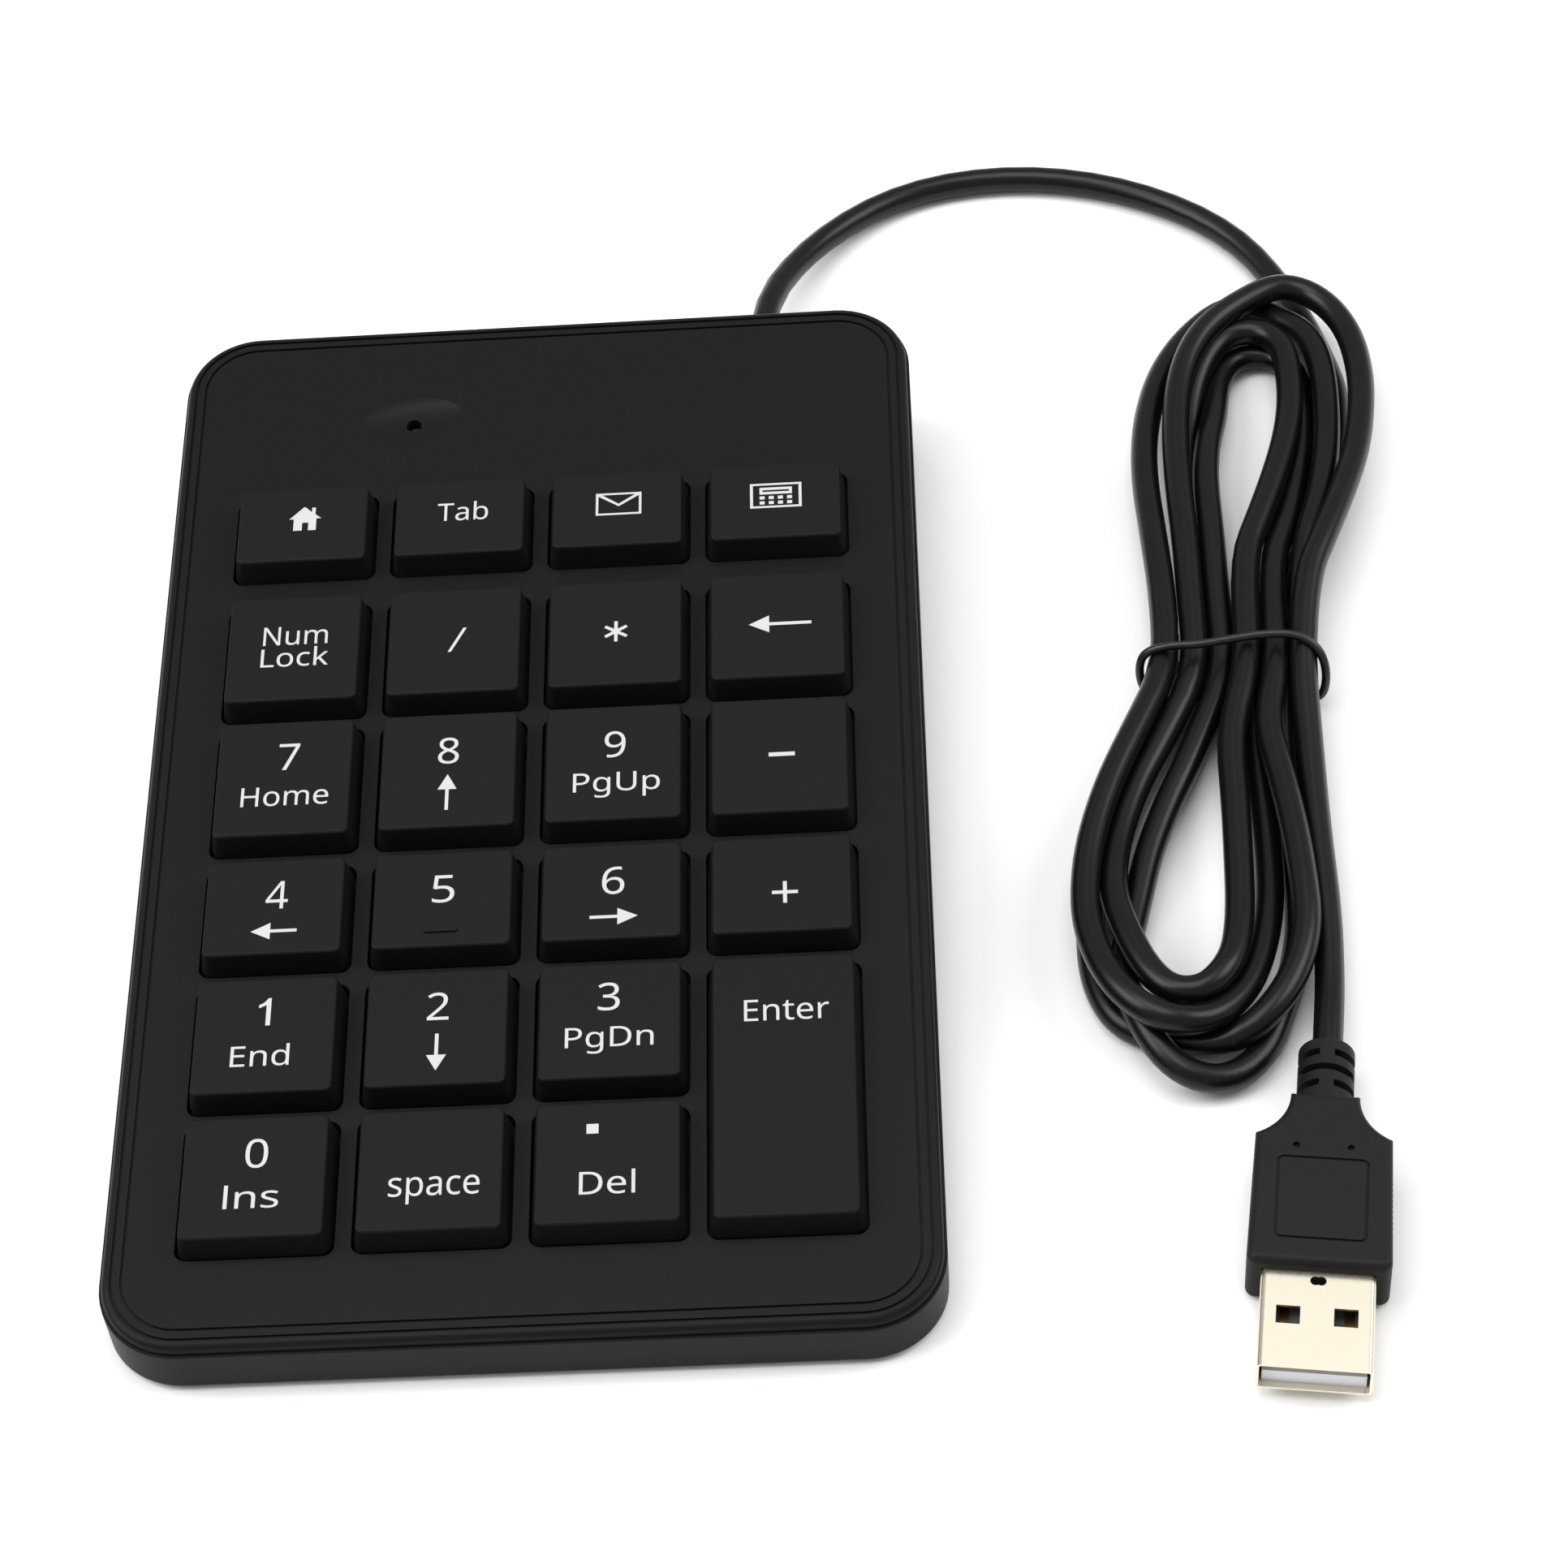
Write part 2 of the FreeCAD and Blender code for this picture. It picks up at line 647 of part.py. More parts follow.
def lower_shell():
    height = 60.0
    outer = prism(CASE_W, CASE_L, CORNER_R, FOOT_GAP, height)
    outer = outer.makeFillet(BOTTOM_EDGE_R, edges_at(outer, FOOT_GAP))
    inner = prism(CASE_W - 2 * WALL, CASE_L - 2 * WALL, CORNER_R - WALL, FLOOR_TOP, height + 1)
    shell = outer.cut(inner).cut(above_deck_level(-PARTING_DROP))
    parts = [shell, support_ribs()]
    parts += board_posts().Solids
    for x, y, meet in screw_places():
        parts.append(cylinder(PILLAR_R, x, y, FLOOR_TOP - EMBED, meet))
    shell = joined(parts)
    for x, y, meet in screw_places():
        shell = shell.cut(cylinder(SCREW_HEAD_R + 0.3, x, y, 0, meet - SCREW_WEB))
        shell = shell.cut(cylinder(SCREW_R + 0.2, x, y, 0, meet + 1))
    for x, y in foot_places():
        shell = shell.cut(cylinder(FOOT_R, x, y, 0, FOOT_GAP + FOOT_SUNK))
    shell = shell.cut(Part.makeCylinder(BOOT_NECK_R, 2 * WALL, V(EXIT_X, BACK_Y - 1.5 * WALL, EXIT_Z), V(0, 1, 0)))
    for hole in clamp_screw_holes(SCREW_R - 0.2):
        shell = shell.cut(hole)
    return shell


def foot_places():
    y = CASE_L / 2 - FOOT_EDGE
    return [(sx * FOOT_X, sy * y) for sx in (-1, 1) for sy in (-1, 1)]


def rubber_feet():
    return Part.makeCompound([cylinder(FOOT_R, x, y, 0, FOOT_GAP + FOOT_SUNK) for x, y in foot_places()])


def case_screws():
    screws = []
    arm, half = SCREW_CROSS
    for x, y, meet in screw_places():
        seat = meet - SCREW_WEB
        head = cylinder(SCREW_HEAD_R, x, y, seat - SCREW_HEAD_H, seat)
        face = seat - SCREW_HEAD_H
        cross = box(x - arm, x + arm, y - half, y + half, face - 1, face + SCREW_SLOT_DEPTH)
        other = cross.copy()
        other.rotate(V(x, y, 0), V(0, 0, 1), 90)
        shank = cylinder(SCREW_R, x, y, seat, meet + SCREW_BITE)
        screws.append(head.cut(cross).cut(other).fuse(shank).removeSplitter())
    return Part.makeCompound(screws)


# ---- switch stack
def stack_sheet(w0, w1, tail):
    """One film of the stack, with or without the tail that reaches the board."""
    sheet = box(-STACK_HALF_W, STACK_HALF_W, STACK_FRONT, STACK_BACK, w0, w1)
    if tail:
        reach = BOARD_FRONT + TAIL_OVERLAP
        sheet = joined([sheet, box(-TAIL_W / 2, TAIL_W / 2, STACK_BACK - 1, reach, w0, w1)])
    return sheet


def backing_plate():
    return on_deck(stack_sheet(BACKING_UNDER, FILM_UNDER, False))


def film(level, pierced):
    """Film number level of three, counted from below."""
    w0 = FILM_UNDER + level * FILM_T
    sheet = stack_sheet(w0, w0 + FILM_T, True)
    if pierced:
        for x, v, _, _ in KEYS.values():
            sheet = sheet.cut(cylinder(CONTACT_R, x, v, w0 - 1, w0 + 1))
    return on_deck(sheet)


def dome_sheet():
    """One silicone sheet with a hollow dome under each key."""
    sheet = stack_sheet(FILM_TOP, FILM_TOP + DOME_SHEET_T, False)
    top = -BOSS_DROP - DOME_TO_BOSS
    domes = []
    hollows = []
    for x, v, _, _ in KEYS.values():
        domes.append(cone(DOME_BASE_R, DOME_TOP_R, x, v, FILM_TOP, top))
        hollows.append(cone(DOME_BASE_R - DOME_WALL, DOME_TOP_R - DOME_WALL, x, v, FILM_TOP, top - DOME_WALL))
        for side in (-1, 1):
            middle = x + side * (LEG_X + (LEG_T + BARB_OUT) / 2)
            half_w = (LEG_T + BARB_OUT) / 2 + 0.3
            half_l = LEG_W / 2 + 0.3
            hollows.append(box(middle - half_w, middle + half_w, v - half_l, v + half_l, FILM_TOP - 1, FILM_TOP + 1))
    return on_deck(joined([sheet] + domes).cut(hollows))


# ---- board
def clamp_screw_holes(radius):
    holes = []
    for side in (-1, 1):
        top = deck_point(BOARD_X + side * BAR_SCREW_X, BAR_V, FILM_TOP + BAR_T + 1)
        axis = deck_point(BOARD_X + side * BAR_SCREW_X, BAR_V, 0).sub(top).normalize().multiply(-1)
        holes.append(Part.makeCylinder(radius, 1 + BAR_T + 3 * FILM_T + BOARD_T + SCREW_BITE, top, axis))
    return holes


def board():
    plate = box(BOARD_X - BOARD_W / 2, BOARD_X + BOARD_W / 2, BOARD_FRONT, BOARD_BACK, BOARD_UNDER, BOARD_TOP)
    plate = on_deck(plate)
    for hole in clamp_screw_holes(SCREW_R + 0.1):
        plate = plate.cut(hole)
    return plate


def clamp_bar():
    """The bar that presses the films' tail onto the board's contacts, with a foot at each end."""
    x0 = BOARD_X - BAR_W / 2
    x1 = BOARD_X + BAR_W / 2
    bar = box(x0, x1, BAR_V - BAR_L / 2, BAR_V + BAR_L / 2, BOARD_TOP, FILM_TOP + BAR_T)
    bar = bar.cut(box(-TAIL_W / 2 - 0.3, TAIL_W / 2 + 0.3, BAR_V - BAR_L, BAR_V + BAR_L, BOARD_TOP - 1, FILM_TOP))
    bar = on_deck(bar)
    for hole in clamp_screw_holes(SCREW_R + 0.1):
        bar = bar.cut(hole)
    return bar


def clamp_screws():
    screws = []
    arm, half = SCREW_CROSS
    for side in (-1, 1):
        x = BOARD_X + side * BAR_SCREW_X
        seat = FILM_TOP + BAR_T
        head = cylinder(SCREW_HEAD_R, x, BAR_V, seat, seat + SCREW_HEAD_H)
        face = seat + SCREW_HEAD_H
        slot = box(x - arm, x + arm, BAR_V - half, BAR_V + half, face - SCREW_SLOT_DEPTH, face + 1)
        shank = cylinder(SCREW_R - 0.2, x, BAR_V, BOARD_UNDER - SCREW_BITE + 0.4, seat)
        screws.append(on_deck(head.cut(slot).fuse(shank).removeSplitter()))
    return Part.makeCompound(screws)


def status_led():
    top = -DECK_T - LED_TOP_DROP
    flange = cylinder(LED_FLANGE_R, LED_X, LED_V, BOARD_TOP, BOARD_TOP + LED_FLANGE_T)
    barrel = cylinder(LED_R, LED_X, LED_V, BOARD_TOP, top - LED_R)
    dome = Part.makeSphere(LED_R, V(LED_X, LED_V, top - LED_R))
    return on_deck(joined([flange, barrel, dome]))


def controller_blob():
    """The drop of black resin over the controller chip."""
    x = BOARD_X + BLOB_X
    v = BOARD_BACK - BLOB_FROM_BACK
    ball_r = (BLOB_SPAN * BLOB_SPAN + BLOB_H * BLOB_H) / (2 * BLOB_H)
    ball = Part.makeSphere(ball_r, V(x, v, BOARD_TOP + BLOB_H - ball_r))
    return on_deck(ball.common(cylinder(BLOB_SPAN + 1, x, v, BOARD_TOP, BOARD_TOP + BLOB_H + 1)))


def crystal():
    x = BOARD_X + CRYSTAL_X
    v = BOARD_BACK - CRYSTAL_FROM_BACK
    step = BOARD_TOP + CRYSTAL_BASE_T
    wide, deep = CRYSTAL_CAN
    can = prism(wide, deep, deep / 2, step, BOARD_TOP + CRYSTAL_H, x, v)
    wide, deep = CRYSTAL_BASE
    base = prism(wide, deep, deep / 2, BOARD_TOP, step, x, v)
    return on_deck(joined([base, can]))


def chip_row(count, place, size):
    """Small surface-mounted parts in a row; place is x and the distance from the board's back."""
    x = BOARD_X + place[0]
    v = BOARD_BACK - place[1]
    length, width, height = size
    starts = [x + n * CHIP_PITCH for n in range(count)]
    chips = [box(start, start + length, v, v + width, BOARD_TOP, BOARD_TOP + height) for start in starts]
    return on_deck(Part.makeCompound(chips))


def resistors():
    return chip_row(3, RESISTORS_AT, RESISTOR)


def capacitors():
    return chip_row(2, CAPACITORS_AT, CAPACITOR)


def lead_socket():
    """The white board connector that the four leads plug into."""
    body = box(SOCKET_FACE - SOCKET_W, SOCKET_FACE, SOCKET_V - SOCKET_L / 2, SOCKET_V + SOCKET_L / 2,
               BOARD_TOP, BOARD_TOP + SOCKET_H)
    return on_deck(body)


def lead_wires():
    """Four insulated leads from the end of the cable's jacket, up and over to the socket."""
    wires = []
    inside = EXIT.y - CABLE_INSIDE
    for n, (sx, sz) in enumerate(((-1, 1), (1, 1), (-1, -1), (1, -1))):
        v = SOCKET_V + (1.5 - n) * LEAD_PITCH
        end = deck_point(SOCKET_FACE, v, BOARD_TOP + LEAD_ABOVE_BOARD)
        x = EXIT_X + sx * LEAD_SPREAD
        low = EXIT_Z + sz * LEAD_SPREAD
        points = [V(x, inside, low), V(x, end.y, low), V(x, end.y, end.z), end]
        wires.append(tube(points, LEAD_D / 2, "lead wire %d" % (n + 1)))
    return Part.makeCompound(wires)


# ---- lead, hank and plug
def cable_boot(lead):
    """The rubber bush in the back wall, moulded round the cable, with its tapered tail outside."""
    inner_face = BACK_Y - WALL
    axis = V(0, 1, 0)
    flange = Part.makeCylinder(BOOT_FLANGE_R, BOOT_FLANGE_T, V(EXIT_X, inner_face - BOOT_FLANGE_T, EXIT_Z), axis)
    neck = Part.makeCylinder(BOOT_NECK_R, WALL, V(EXIT_X, inner_face, EXIT_Z), axis)
    collar = Part.makeCylinder(BOOT_FLANGE_R, BOOT_COLLAR_T, EXIT, axis)
    tail_start = EXIT.add(V(0, BOOT_COLLAR_T, 0))
    tail = Part.makeCone(BOOT_TAIL_R, BOOT_TIP_R, BOOT_OUT - BOOT_COLLAR_T, tail_start, axis)
    boot = joined([flange, neck, collar, tail]).cut(lead)
    for n in range(3):
        y = BACK_Y + BOOT_SLOTS_FROM + n * BOOT_SLOT_PITCH
        groove = Part.makeCylinder(BOOT_FLANGE_R, BOOT_SLOT_W, V(EXIT_X, y, EXIT_Z), axis)
        core = Part.makeCylinder(CABLE_R + SLEEVE_T, BOOT_SLOT_W, V(EXIT_X, y, EXIT_Z), axis)
        web = box(EXIT_X - BOOT_WEB_HALF, EXIT_X + BOOT_WEB_HALF, y - 1, y + 2,
                  EXIT_Z - 2 * BOOT_FLANGE_R, EXIT_Z + 2 * BOOT_FLANGE_R)
        boot = boot.cut(groove.cut(core).cut(web))
    return boot


def from_exit(points):
    return [EXIT.add(p) for p in points]


def hank_outline():
    points = [V(EXIT.x + x, EXIT.y + y, 0) for x, y in HANK_OUTLINE]
    curve = Part.BSplineCurve()
    curve.interpolate(Points=points, PeriodicFlag=True)
    return Part.Face(Part.Wire([curve.toShape()]))


def across_waist(width, height, radius):
    """A bar with round corners that passes through the hank's waist, as long as the tie is wide."""
    bar = prism(width, height, radius, -TIE_W / 2, TIE_W / 2)
    bar.rotate(V(0, 0, 0), V(1, 0, 0), 90)
    bar.translate(V(EXIT.x + (WAIST_X0 + WAIST_X1) / 2, EXIT.y + WAIST_Y, HANK_H / 2))
    return bar


def tie_inside():
    return across_waist(WAIST_X1 - WAIST_X0 + 2 * TIE_GAP, HANK_H - 2 * TIE_T, TIE_CORNER_R - TIE_T)


def cable_tie():
    """The twist tie's loop, flat on the table below and over the strands above."""
    outer = across_waist(WAIST_X1 - WAIST_X0 + 2 * (TIE_GAP + TIE_T), HANK_H, TIE_CORNER_R)
    return outer.cut(tie_inside())


def cable_hank():
    """The folded bundle as one closed body, necked where the tie goes round it."""
    body = hank_outline().extrude(V(0, 0, HANK_H))
    slab = across_waist(2 * WAIST_X1, 2 * WAIST_X1, 1.0)
    return joined([body.cut(slab), body.common(tie_inside())])


def cable_lead(hank):
    return tube(from_exit(LEAD_ROUTE), CABLE_R, "cable lead").cut(hank)


def plug_place(shape):
    """From the plug's own frame, tip towards -Y with the cable's entry at its origin."""
    placed = shape.copy()
    placed.rotate(V(0, 0, 0), V(0, 0, 1), PLUG_TURN)
    placed.translate(V(EXIT.x + PLUG_X, EXIT.y + PLUG_Y, OVERMOULD_H / 2))
    return placed


def cable_end(hank):
    entry = V(EXIT.x + PLUG_X, EXIT.y + PLUG_Y, OVERMOULD_H / 2)
    turn = math.radians(PLUG_TURN)
    lead_in = entry.add(V(-math.sin(turn), math.cos(turn), 0).multiply(PLUG_LEAD_IN))
    points = from_exit(END_ROUTE) + [lead_in, entry]
    return tube(points, CABLE_R, "cable end").cut(hank)


def strain_relief():
    """The ribbed tail of the plug's overmould: rings with two slots between each pair."""
    axis = V(0, -1, 0)
    body = Part.makeCylinder(RELIEF_R, RELIEF_L + 1, V(0, 0, 0), axis)
    mouth = [e for e in body.Edges if abs(e.BoundBox.YMin) < 1e-4 and abs(e.BoundBox.YMax) < 1e-4]
    body = body.makeFillet(RELIEF_EDGE_R, mouth)
    step = RELIEF_L / 4
    reach = 2 * RELIEF_R
    for n in (1, 2, 3):
        y = -n * step
        cutter = Part.makeCylinder(RELIEF_R + 1, RELIEF_SLOT, V(0, y + RELIEF_SLOT / 2, 0), axis)
        core = Part.makeCylinder(CABLE_R + SLEEVE_T, RELIEF_SLOT, V(0, y + RELIEF_SLOT / 2, 0), axis)
        half_x, half_z = (RELIEF_WEB_HALF, reach) if n % 2 else (reach, RELIEF_WEB_HALF)
        web = box(-half_x, half_x, y - step, y + step, -half_z, half_z)
        body = body.cut(cutter.cut(core).cut(web))
    return body


def overmould_outline():
    """Half width at each distance from the cable's entry: neck, hollow shoulder, straight side."""
    start = -RELIEF_L
    shoulder = start - SHOULDER_L
    end = start - OVERMOULD_L
    neck = NECK_W / 2
    side = OVERMOULD_W / 2
    bend = V((neck + side) / 2 - SHOULDER_HOLLOW[0], (start + shoulder) / 2 - SHOULDER_HOLLOW[1], 0)
    right = [V(neck, start, 0), bend, V(side - SHOULDER_IN, shoulder, 0), V(side, end, 0)]
    middle = OVERMOULD_CORNER_R * (1 - math.sqrt(0.5))
    right[3:] = [V(side, end + OVERMOULD_CORNER_R, 0), V(side - middle, end + middle, 0),
                 V(side - OVERMOULD_CORNER_R, end, 0)]
    left = [V(-p.x, p.y, 0) for p in right]
    edges = [
        Part.Arc(right[0], right[1], right[2]),
        Part.LineSegment(right[2], right[3]),
        Part.Arc(right[3], right[4], right[5]),
        Part.LineSegment(right[5], left[5]),
        Part.Arc(left[5], left[4], left[3]),
        Part.LineSegment(left[3], left[2]),
        Part.Arc(left[2], left[1], left[0]),
        Part.LineSegment(left[0], right[0]),
    ]
    return Part.Face(Part.Wire([e.toShape() for e in edges]))


def plug_overmould():
    body = overmould_outline().extrude(V(0, 0, OVERMOULD_H))
    body.translate(V(0, 0, -OVERMOULD_H / 2))
    level = OVERMOULD_H / 2
    body = body.makeFillet(OVERMOULD_EDGE, edges_at(body, level) + edges_at(body, -level))
    body = joined([body, strain_relief()])
    front = -RELIEF_L - OVERMOULD_L
    pocket = box(-SHELL_W / 2, SHELL_W / 2, front - 1, front + SHELL_IN, -SHELL_H / 2, SHELL_H / 2)
    body = body.cut(pocket)
    panel_y = -RELIEF_L - SHOULDER_L - PANEL_BACK
    outline = ring(PANEL_W, PANEL_L, PANEL_R, PANEL_LINE, level - PANEL_DEPTH, level + 1)
    outline.translate(V(0, panel_y, 0))
    body = body.cut(outline)
    for side in (-1, 1):
        dimple = cylinder(DIMPLE_R, side * DIMPLE_X, panel_y + DIMPLE_FROM_PANEL, level - DIMPLE_DEPTH, level + 1)
        body = body.cut(dimple)
        for n in range(GRIP_COUNT):
            along = GRIP_FROM_SHOULDER + n * GRIP_PITCH
            wall = OVERMOULD_W / 2 - SHOULDER_IN * (1 - along / (OVERMOULD_L - SHOULDER_L))
            x = side * (wall - GRIP_DEPTH + GRIP_R)
            body = body.cut(cylinder(GRIP_R, x, -RELIEF_L - SHOULDER_L - along, -level - 1, level + 1))
    return plug_place(body)


def plug_shell():
    """The drawn steel shell, open at the front, with its two latch windows on each face."""
    tip = -RELIEF_L - OVERMOULD_L - SHELL_OUT
    length = SHELL_OUT + SHELL_IN
    outer = prism(SHELL_W, SHELL_H, SHELL_R, 0, length)
    inner = prism(SHELL_W - 2 * SHELL_T, SHELL_H - 2 * SHELL_T, SHELL_R - SHELL_T, -1, length + 1)
    shell = outer.cut(inner)
    shell.rotate(V(0, 0, 0), V(1, 0, 0), -90)
    shell.translate(V(0, tip, 0))
    wide, deep = WINDOW
    for side in (-1, 1):
        x = side * WINDOW_X
        y = tip + WINDOW_FROM_TIP
        shell = shell.cut(box(x - wide / 2, x + wide / 2, y - deep / 2, y + deep / 2, -SHELL_H, SHELL_H))
    y = tip + SHELL_OUT - NUB_HOLE_FROM_MOULD
    for x in (-NUB_HOLE_HALF, NUB_HOLE_HALF):
        shell = shell.cut(cylinder(NUB_HOLE_R, x, y, 0, SHELL_H))
    return plug_place(shell)


def tongue_box():
    tip = -RELIEF_L - OVERMOULD_L - SHELL_OUT
    half = SHELL_W / 2 - SHELL_T
    floor = -SHELL_H / 2 + SHELL_T
    return half, floor, tip + TONGUE_SHORT, tip + SHELL_OUT + SHELL_IN


def plug_tongue():
    half, floor, front, back = tongue_box()
    inside_r = SHELL_R - SHELL_T
    tongue = box(-half + inside_r, half - inside_r, front, back, floor, floor + TONGUE_T)
    block = box(-half + inside_r, half - inside_r, back - SHELL_IN + 1, back, floor, -floor)
    return plug_place(joined([tongue, block]))


def plug_contacts():
    half, floor, front, back = tongue_box()
    top = floor + TONGUE_T
    strips = []
    for n in range(4):
        x = (n - 1.5) * CONTACT_PITCH
        start = front + CONTACT_FROM_FRONT
        strips.append(box(x - CONTACT_W / 2, x + CONTACT_W / 2, start, start + CONTACT_L, top, top + CONTACT_T))
    return plug_place(Part.makeCompound(strips))


# ---- build and write
def build():
    hank = cable_hank()
    lead = cable_lead(hank)
    nodes = {name: key_cap(name) for name in KEYS}
    nodes["enter_level_wire"] = enter_level_wire()
    nodes["top_case"] = upper_shell()
    nodes["bottom_case"] = lower_shell()
    nodes["rubber_feet"] = rubber_feet()
    nodes["case_screws"] = case_screws()
    nodes["dome_sheet"] = dome_sheet()
    nodes["membrane_bottom"] = film(0, False)
    nodes["membrane_spacer"] = film(1, True)
    nodes["membrane_top"] = film(2, False)
    nodes["backing_plate"] = backing_plate()
    nodes["circuit_board"] = board()
    nodes["membrane_clamp_bar"] = clamp_bar()
    nodes["clamp_screws"] = clamp_screws()
    nodes["status_led"] = status_led()
    nodes["controller_blob"] = controller_blob()
    nodes["crystal"] = crystal()
    nodes["resistors"] = resistors()
    nodes["capacitors"] = capacitors()
    nodes["lead_socket"] = lead_socket()
    nodes["lead_wires"] = lead_wires()
    nodes["cable_boot"] = cable_boot(lead)
    nodes["cable_lead"] = lead
    nodes["cable_hank"] = hank
    nodes["cable_tie"] = cable_tie()
    nodes["cable_end"] = cable_end(hank)
    nodes["plug_overmould"] = plug_overmould()
    nodes["plug_shell"] = plug_shell()
    nodes["plug_tongue"] = plug_tongue()
    nodes["plug_contacts"] = plug_contacts()
    return nodes


os.makedirs("parts", exist_ok=True)
for node, shape in build().items():
    if not shape.isValid():
        print("not valid:", node)
    shape.exportStep("parts/%s.step" % node)
    print(node, "solids", len(shape.Solids), "volume", round(shape.Volume, 1))
print("deck height at the middle", round(DECK_Z, 3), "level wire's swing", round(math.degrees(WIRE_SWING), 3))
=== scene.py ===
# Numeric keypad with a tied cable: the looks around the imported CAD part.
import json
import math

import bpy
from mathutils import Matrix, Vector


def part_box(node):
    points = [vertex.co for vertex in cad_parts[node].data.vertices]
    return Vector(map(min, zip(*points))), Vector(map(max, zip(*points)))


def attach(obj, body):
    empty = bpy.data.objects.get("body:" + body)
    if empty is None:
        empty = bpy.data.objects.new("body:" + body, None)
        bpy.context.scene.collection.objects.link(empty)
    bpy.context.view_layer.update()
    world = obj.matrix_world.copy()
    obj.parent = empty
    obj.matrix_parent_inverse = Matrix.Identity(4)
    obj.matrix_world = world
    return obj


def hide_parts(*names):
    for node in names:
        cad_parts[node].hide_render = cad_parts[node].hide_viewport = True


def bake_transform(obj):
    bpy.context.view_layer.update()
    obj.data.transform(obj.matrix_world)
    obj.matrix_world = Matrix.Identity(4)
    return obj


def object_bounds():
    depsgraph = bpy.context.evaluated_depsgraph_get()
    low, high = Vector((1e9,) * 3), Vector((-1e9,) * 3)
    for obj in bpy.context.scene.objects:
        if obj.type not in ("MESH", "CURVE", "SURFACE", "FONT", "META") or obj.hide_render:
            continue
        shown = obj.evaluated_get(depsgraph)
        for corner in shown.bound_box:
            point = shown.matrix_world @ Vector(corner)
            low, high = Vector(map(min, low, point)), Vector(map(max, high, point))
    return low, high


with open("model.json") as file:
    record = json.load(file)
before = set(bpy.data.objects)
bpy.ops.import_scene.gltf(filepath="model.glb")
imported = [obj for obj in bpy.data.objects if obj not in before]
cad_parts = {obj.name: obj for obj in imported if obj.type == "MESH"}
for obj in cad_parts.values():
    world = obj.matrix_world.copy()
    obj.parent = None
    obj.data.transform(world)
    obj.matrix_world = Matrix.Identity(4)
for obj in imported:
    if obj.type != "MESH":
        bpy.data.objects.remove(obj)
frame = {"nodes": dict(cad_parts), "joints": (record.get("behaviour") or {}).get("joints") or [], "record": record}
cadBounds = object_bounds()
nodes = frame["nodes"]
mm = 0.001
print("stage: CAD frame loaded,", len(nodes), "nodes")


def clearSelection():
    for obj in bpy.context.selected_objects:
        obj.select_set(False)


def selectOnly(obj):
    clearSelection()
    obj.select_set(True)
    bpy.context.view_layer.objects.active = obj


clearSelection()

# the view: place in metres, and which way right, down and forward point
cameraSettings = {
    "place": (0.04723, -0.29151, 0.35283),
    "right": (0.997634, -0.002542, -0.068698),
    "down": (-0.046453, -0.761572, -0.646414),
    "forward": (-0.050676, 0.648076, -0.759888),
    "lens": 89.44,
    "sensor": 36.0,
    "shiftX": 0.02404,
    "shiftY": 0.00085,
    "nearest": 0.01,
    "farthest": 20.0,
}


def makeCamera(s):
    data = bpy.data.cameras.new("viewCamera")
    data.sensor_width = s["sensor"]
    data.lens = s["lens"]
    data.shift_x = s["shiftX"]
    data.shift_y = s["shiftY"]
    data.clip_start = s["nearest"]
    data.clip_end = s["farthest"]
    camera = bpy.data.objects.new("viewCamera", data)
    bpy.context.scene.collection.objects.link(camera)
    axes = Matrix((Vector(s["right"]), -Vector(s["down"]), -Vector(s["forward"])))
    camera.matrix_world = Matrix.Translation(s["place"]) @ axes.transposed().to_4x4()
    bpy.context.scene.camera = camera


makeCamera(cameraSettings)


# materials: colours are sRGB hex, patterns are sized in real millimetres
def fromHex(code):
    channels = [int(code[i:i + 2], 16) / 255 for i in (1, 3, 5)]
    linear = [c / 12.92 if c <= 0.04045 else ((c + 0.055) / 1.055) ** 2.4 for c in channels]
    return (*linear, 1.0)


def newMaterial(name, color, roughness, **shader):
    mat = bpy.data.materials.new(name)
    mat.use_nodes = True
    bsdf = mat.node_tree.nodes["Principled BSDF"]
    bsdf.inputs["Base Color"].default_value = fromHex(color)
    bsdf.inputs["Roughness"].default_value = roughness
    for socket, value in shader.items():
        bsdf.inputs[socket.replace("_", " ")].default_value = value
    return mat


def addNode(mat, kind, links=(), **settings):
    # links are (this node's input, the other node, its output)
    node = mat.node_tree.nodes.new(kind)
    for key, value in settings.items():
        if hasattr(node, key):
            setattr(node, key, value)
        else:
            node.inputs[key.replace("_", " ")].default_value = value
    for name, other, output in links:
        mat.node_tree.links.new(other.outputs[output], node.inputs[name])
    return node


grainSettings = {"octaves": 2.0, "octaveStrength": 0.6, "bumpStrength": 1.0}


def addGrain(mat, grain, height, spread=0.0):
    # surface grain: grain and height in mm, spread is how far it moves the roughness either way
    tree = mat.node_tree
    bsdf = tree.nodes["Principled BSDF"]
    coords = addNode(mat, "ShaderNodeTexCoord")
    noise = addNode(mat, "ShaderNodeTexNoise", [("Vector", coords, "Object")],
                    Scale=1 / (grain * mm), Detail=grainSettings["octaves"],
                    Roughness=grainSettings["octaveStrength"])
    bump = addNode(mat, "ShaderNodeBump", [("Height", noise, "Fac")],
                   Strength=grainSettings["bumpStrength"], Distance=height * mm)
    tree.links.new(bump.outputs["Normal"], bsdf.inputs["Normal"])
    if spread:
        base = bsdf.inputs["Roughness"].default_value
        band = addNode(mat, "ShaderNodeMapRange", [("Value", noise, "Fac")],
                       To_Min=base - spread, To_Max=base + spread)
        tree.links.new(band.outputs["Result"], bsdf.inputs["Roughness"])
    return mat


# the black plastics have a lowered specular level, so the wide soft lights leave them dark
# ABS moulded in a spark-eroded tool: an even, soft sheen over a fine grain
caseAbs = addGrain(newMaterial("mouldedAbsCase", "#131313", roughness=0.42, Specular_IOR_Level=0.1),
                   grain=0.25, height=0.006, spread=0.05)
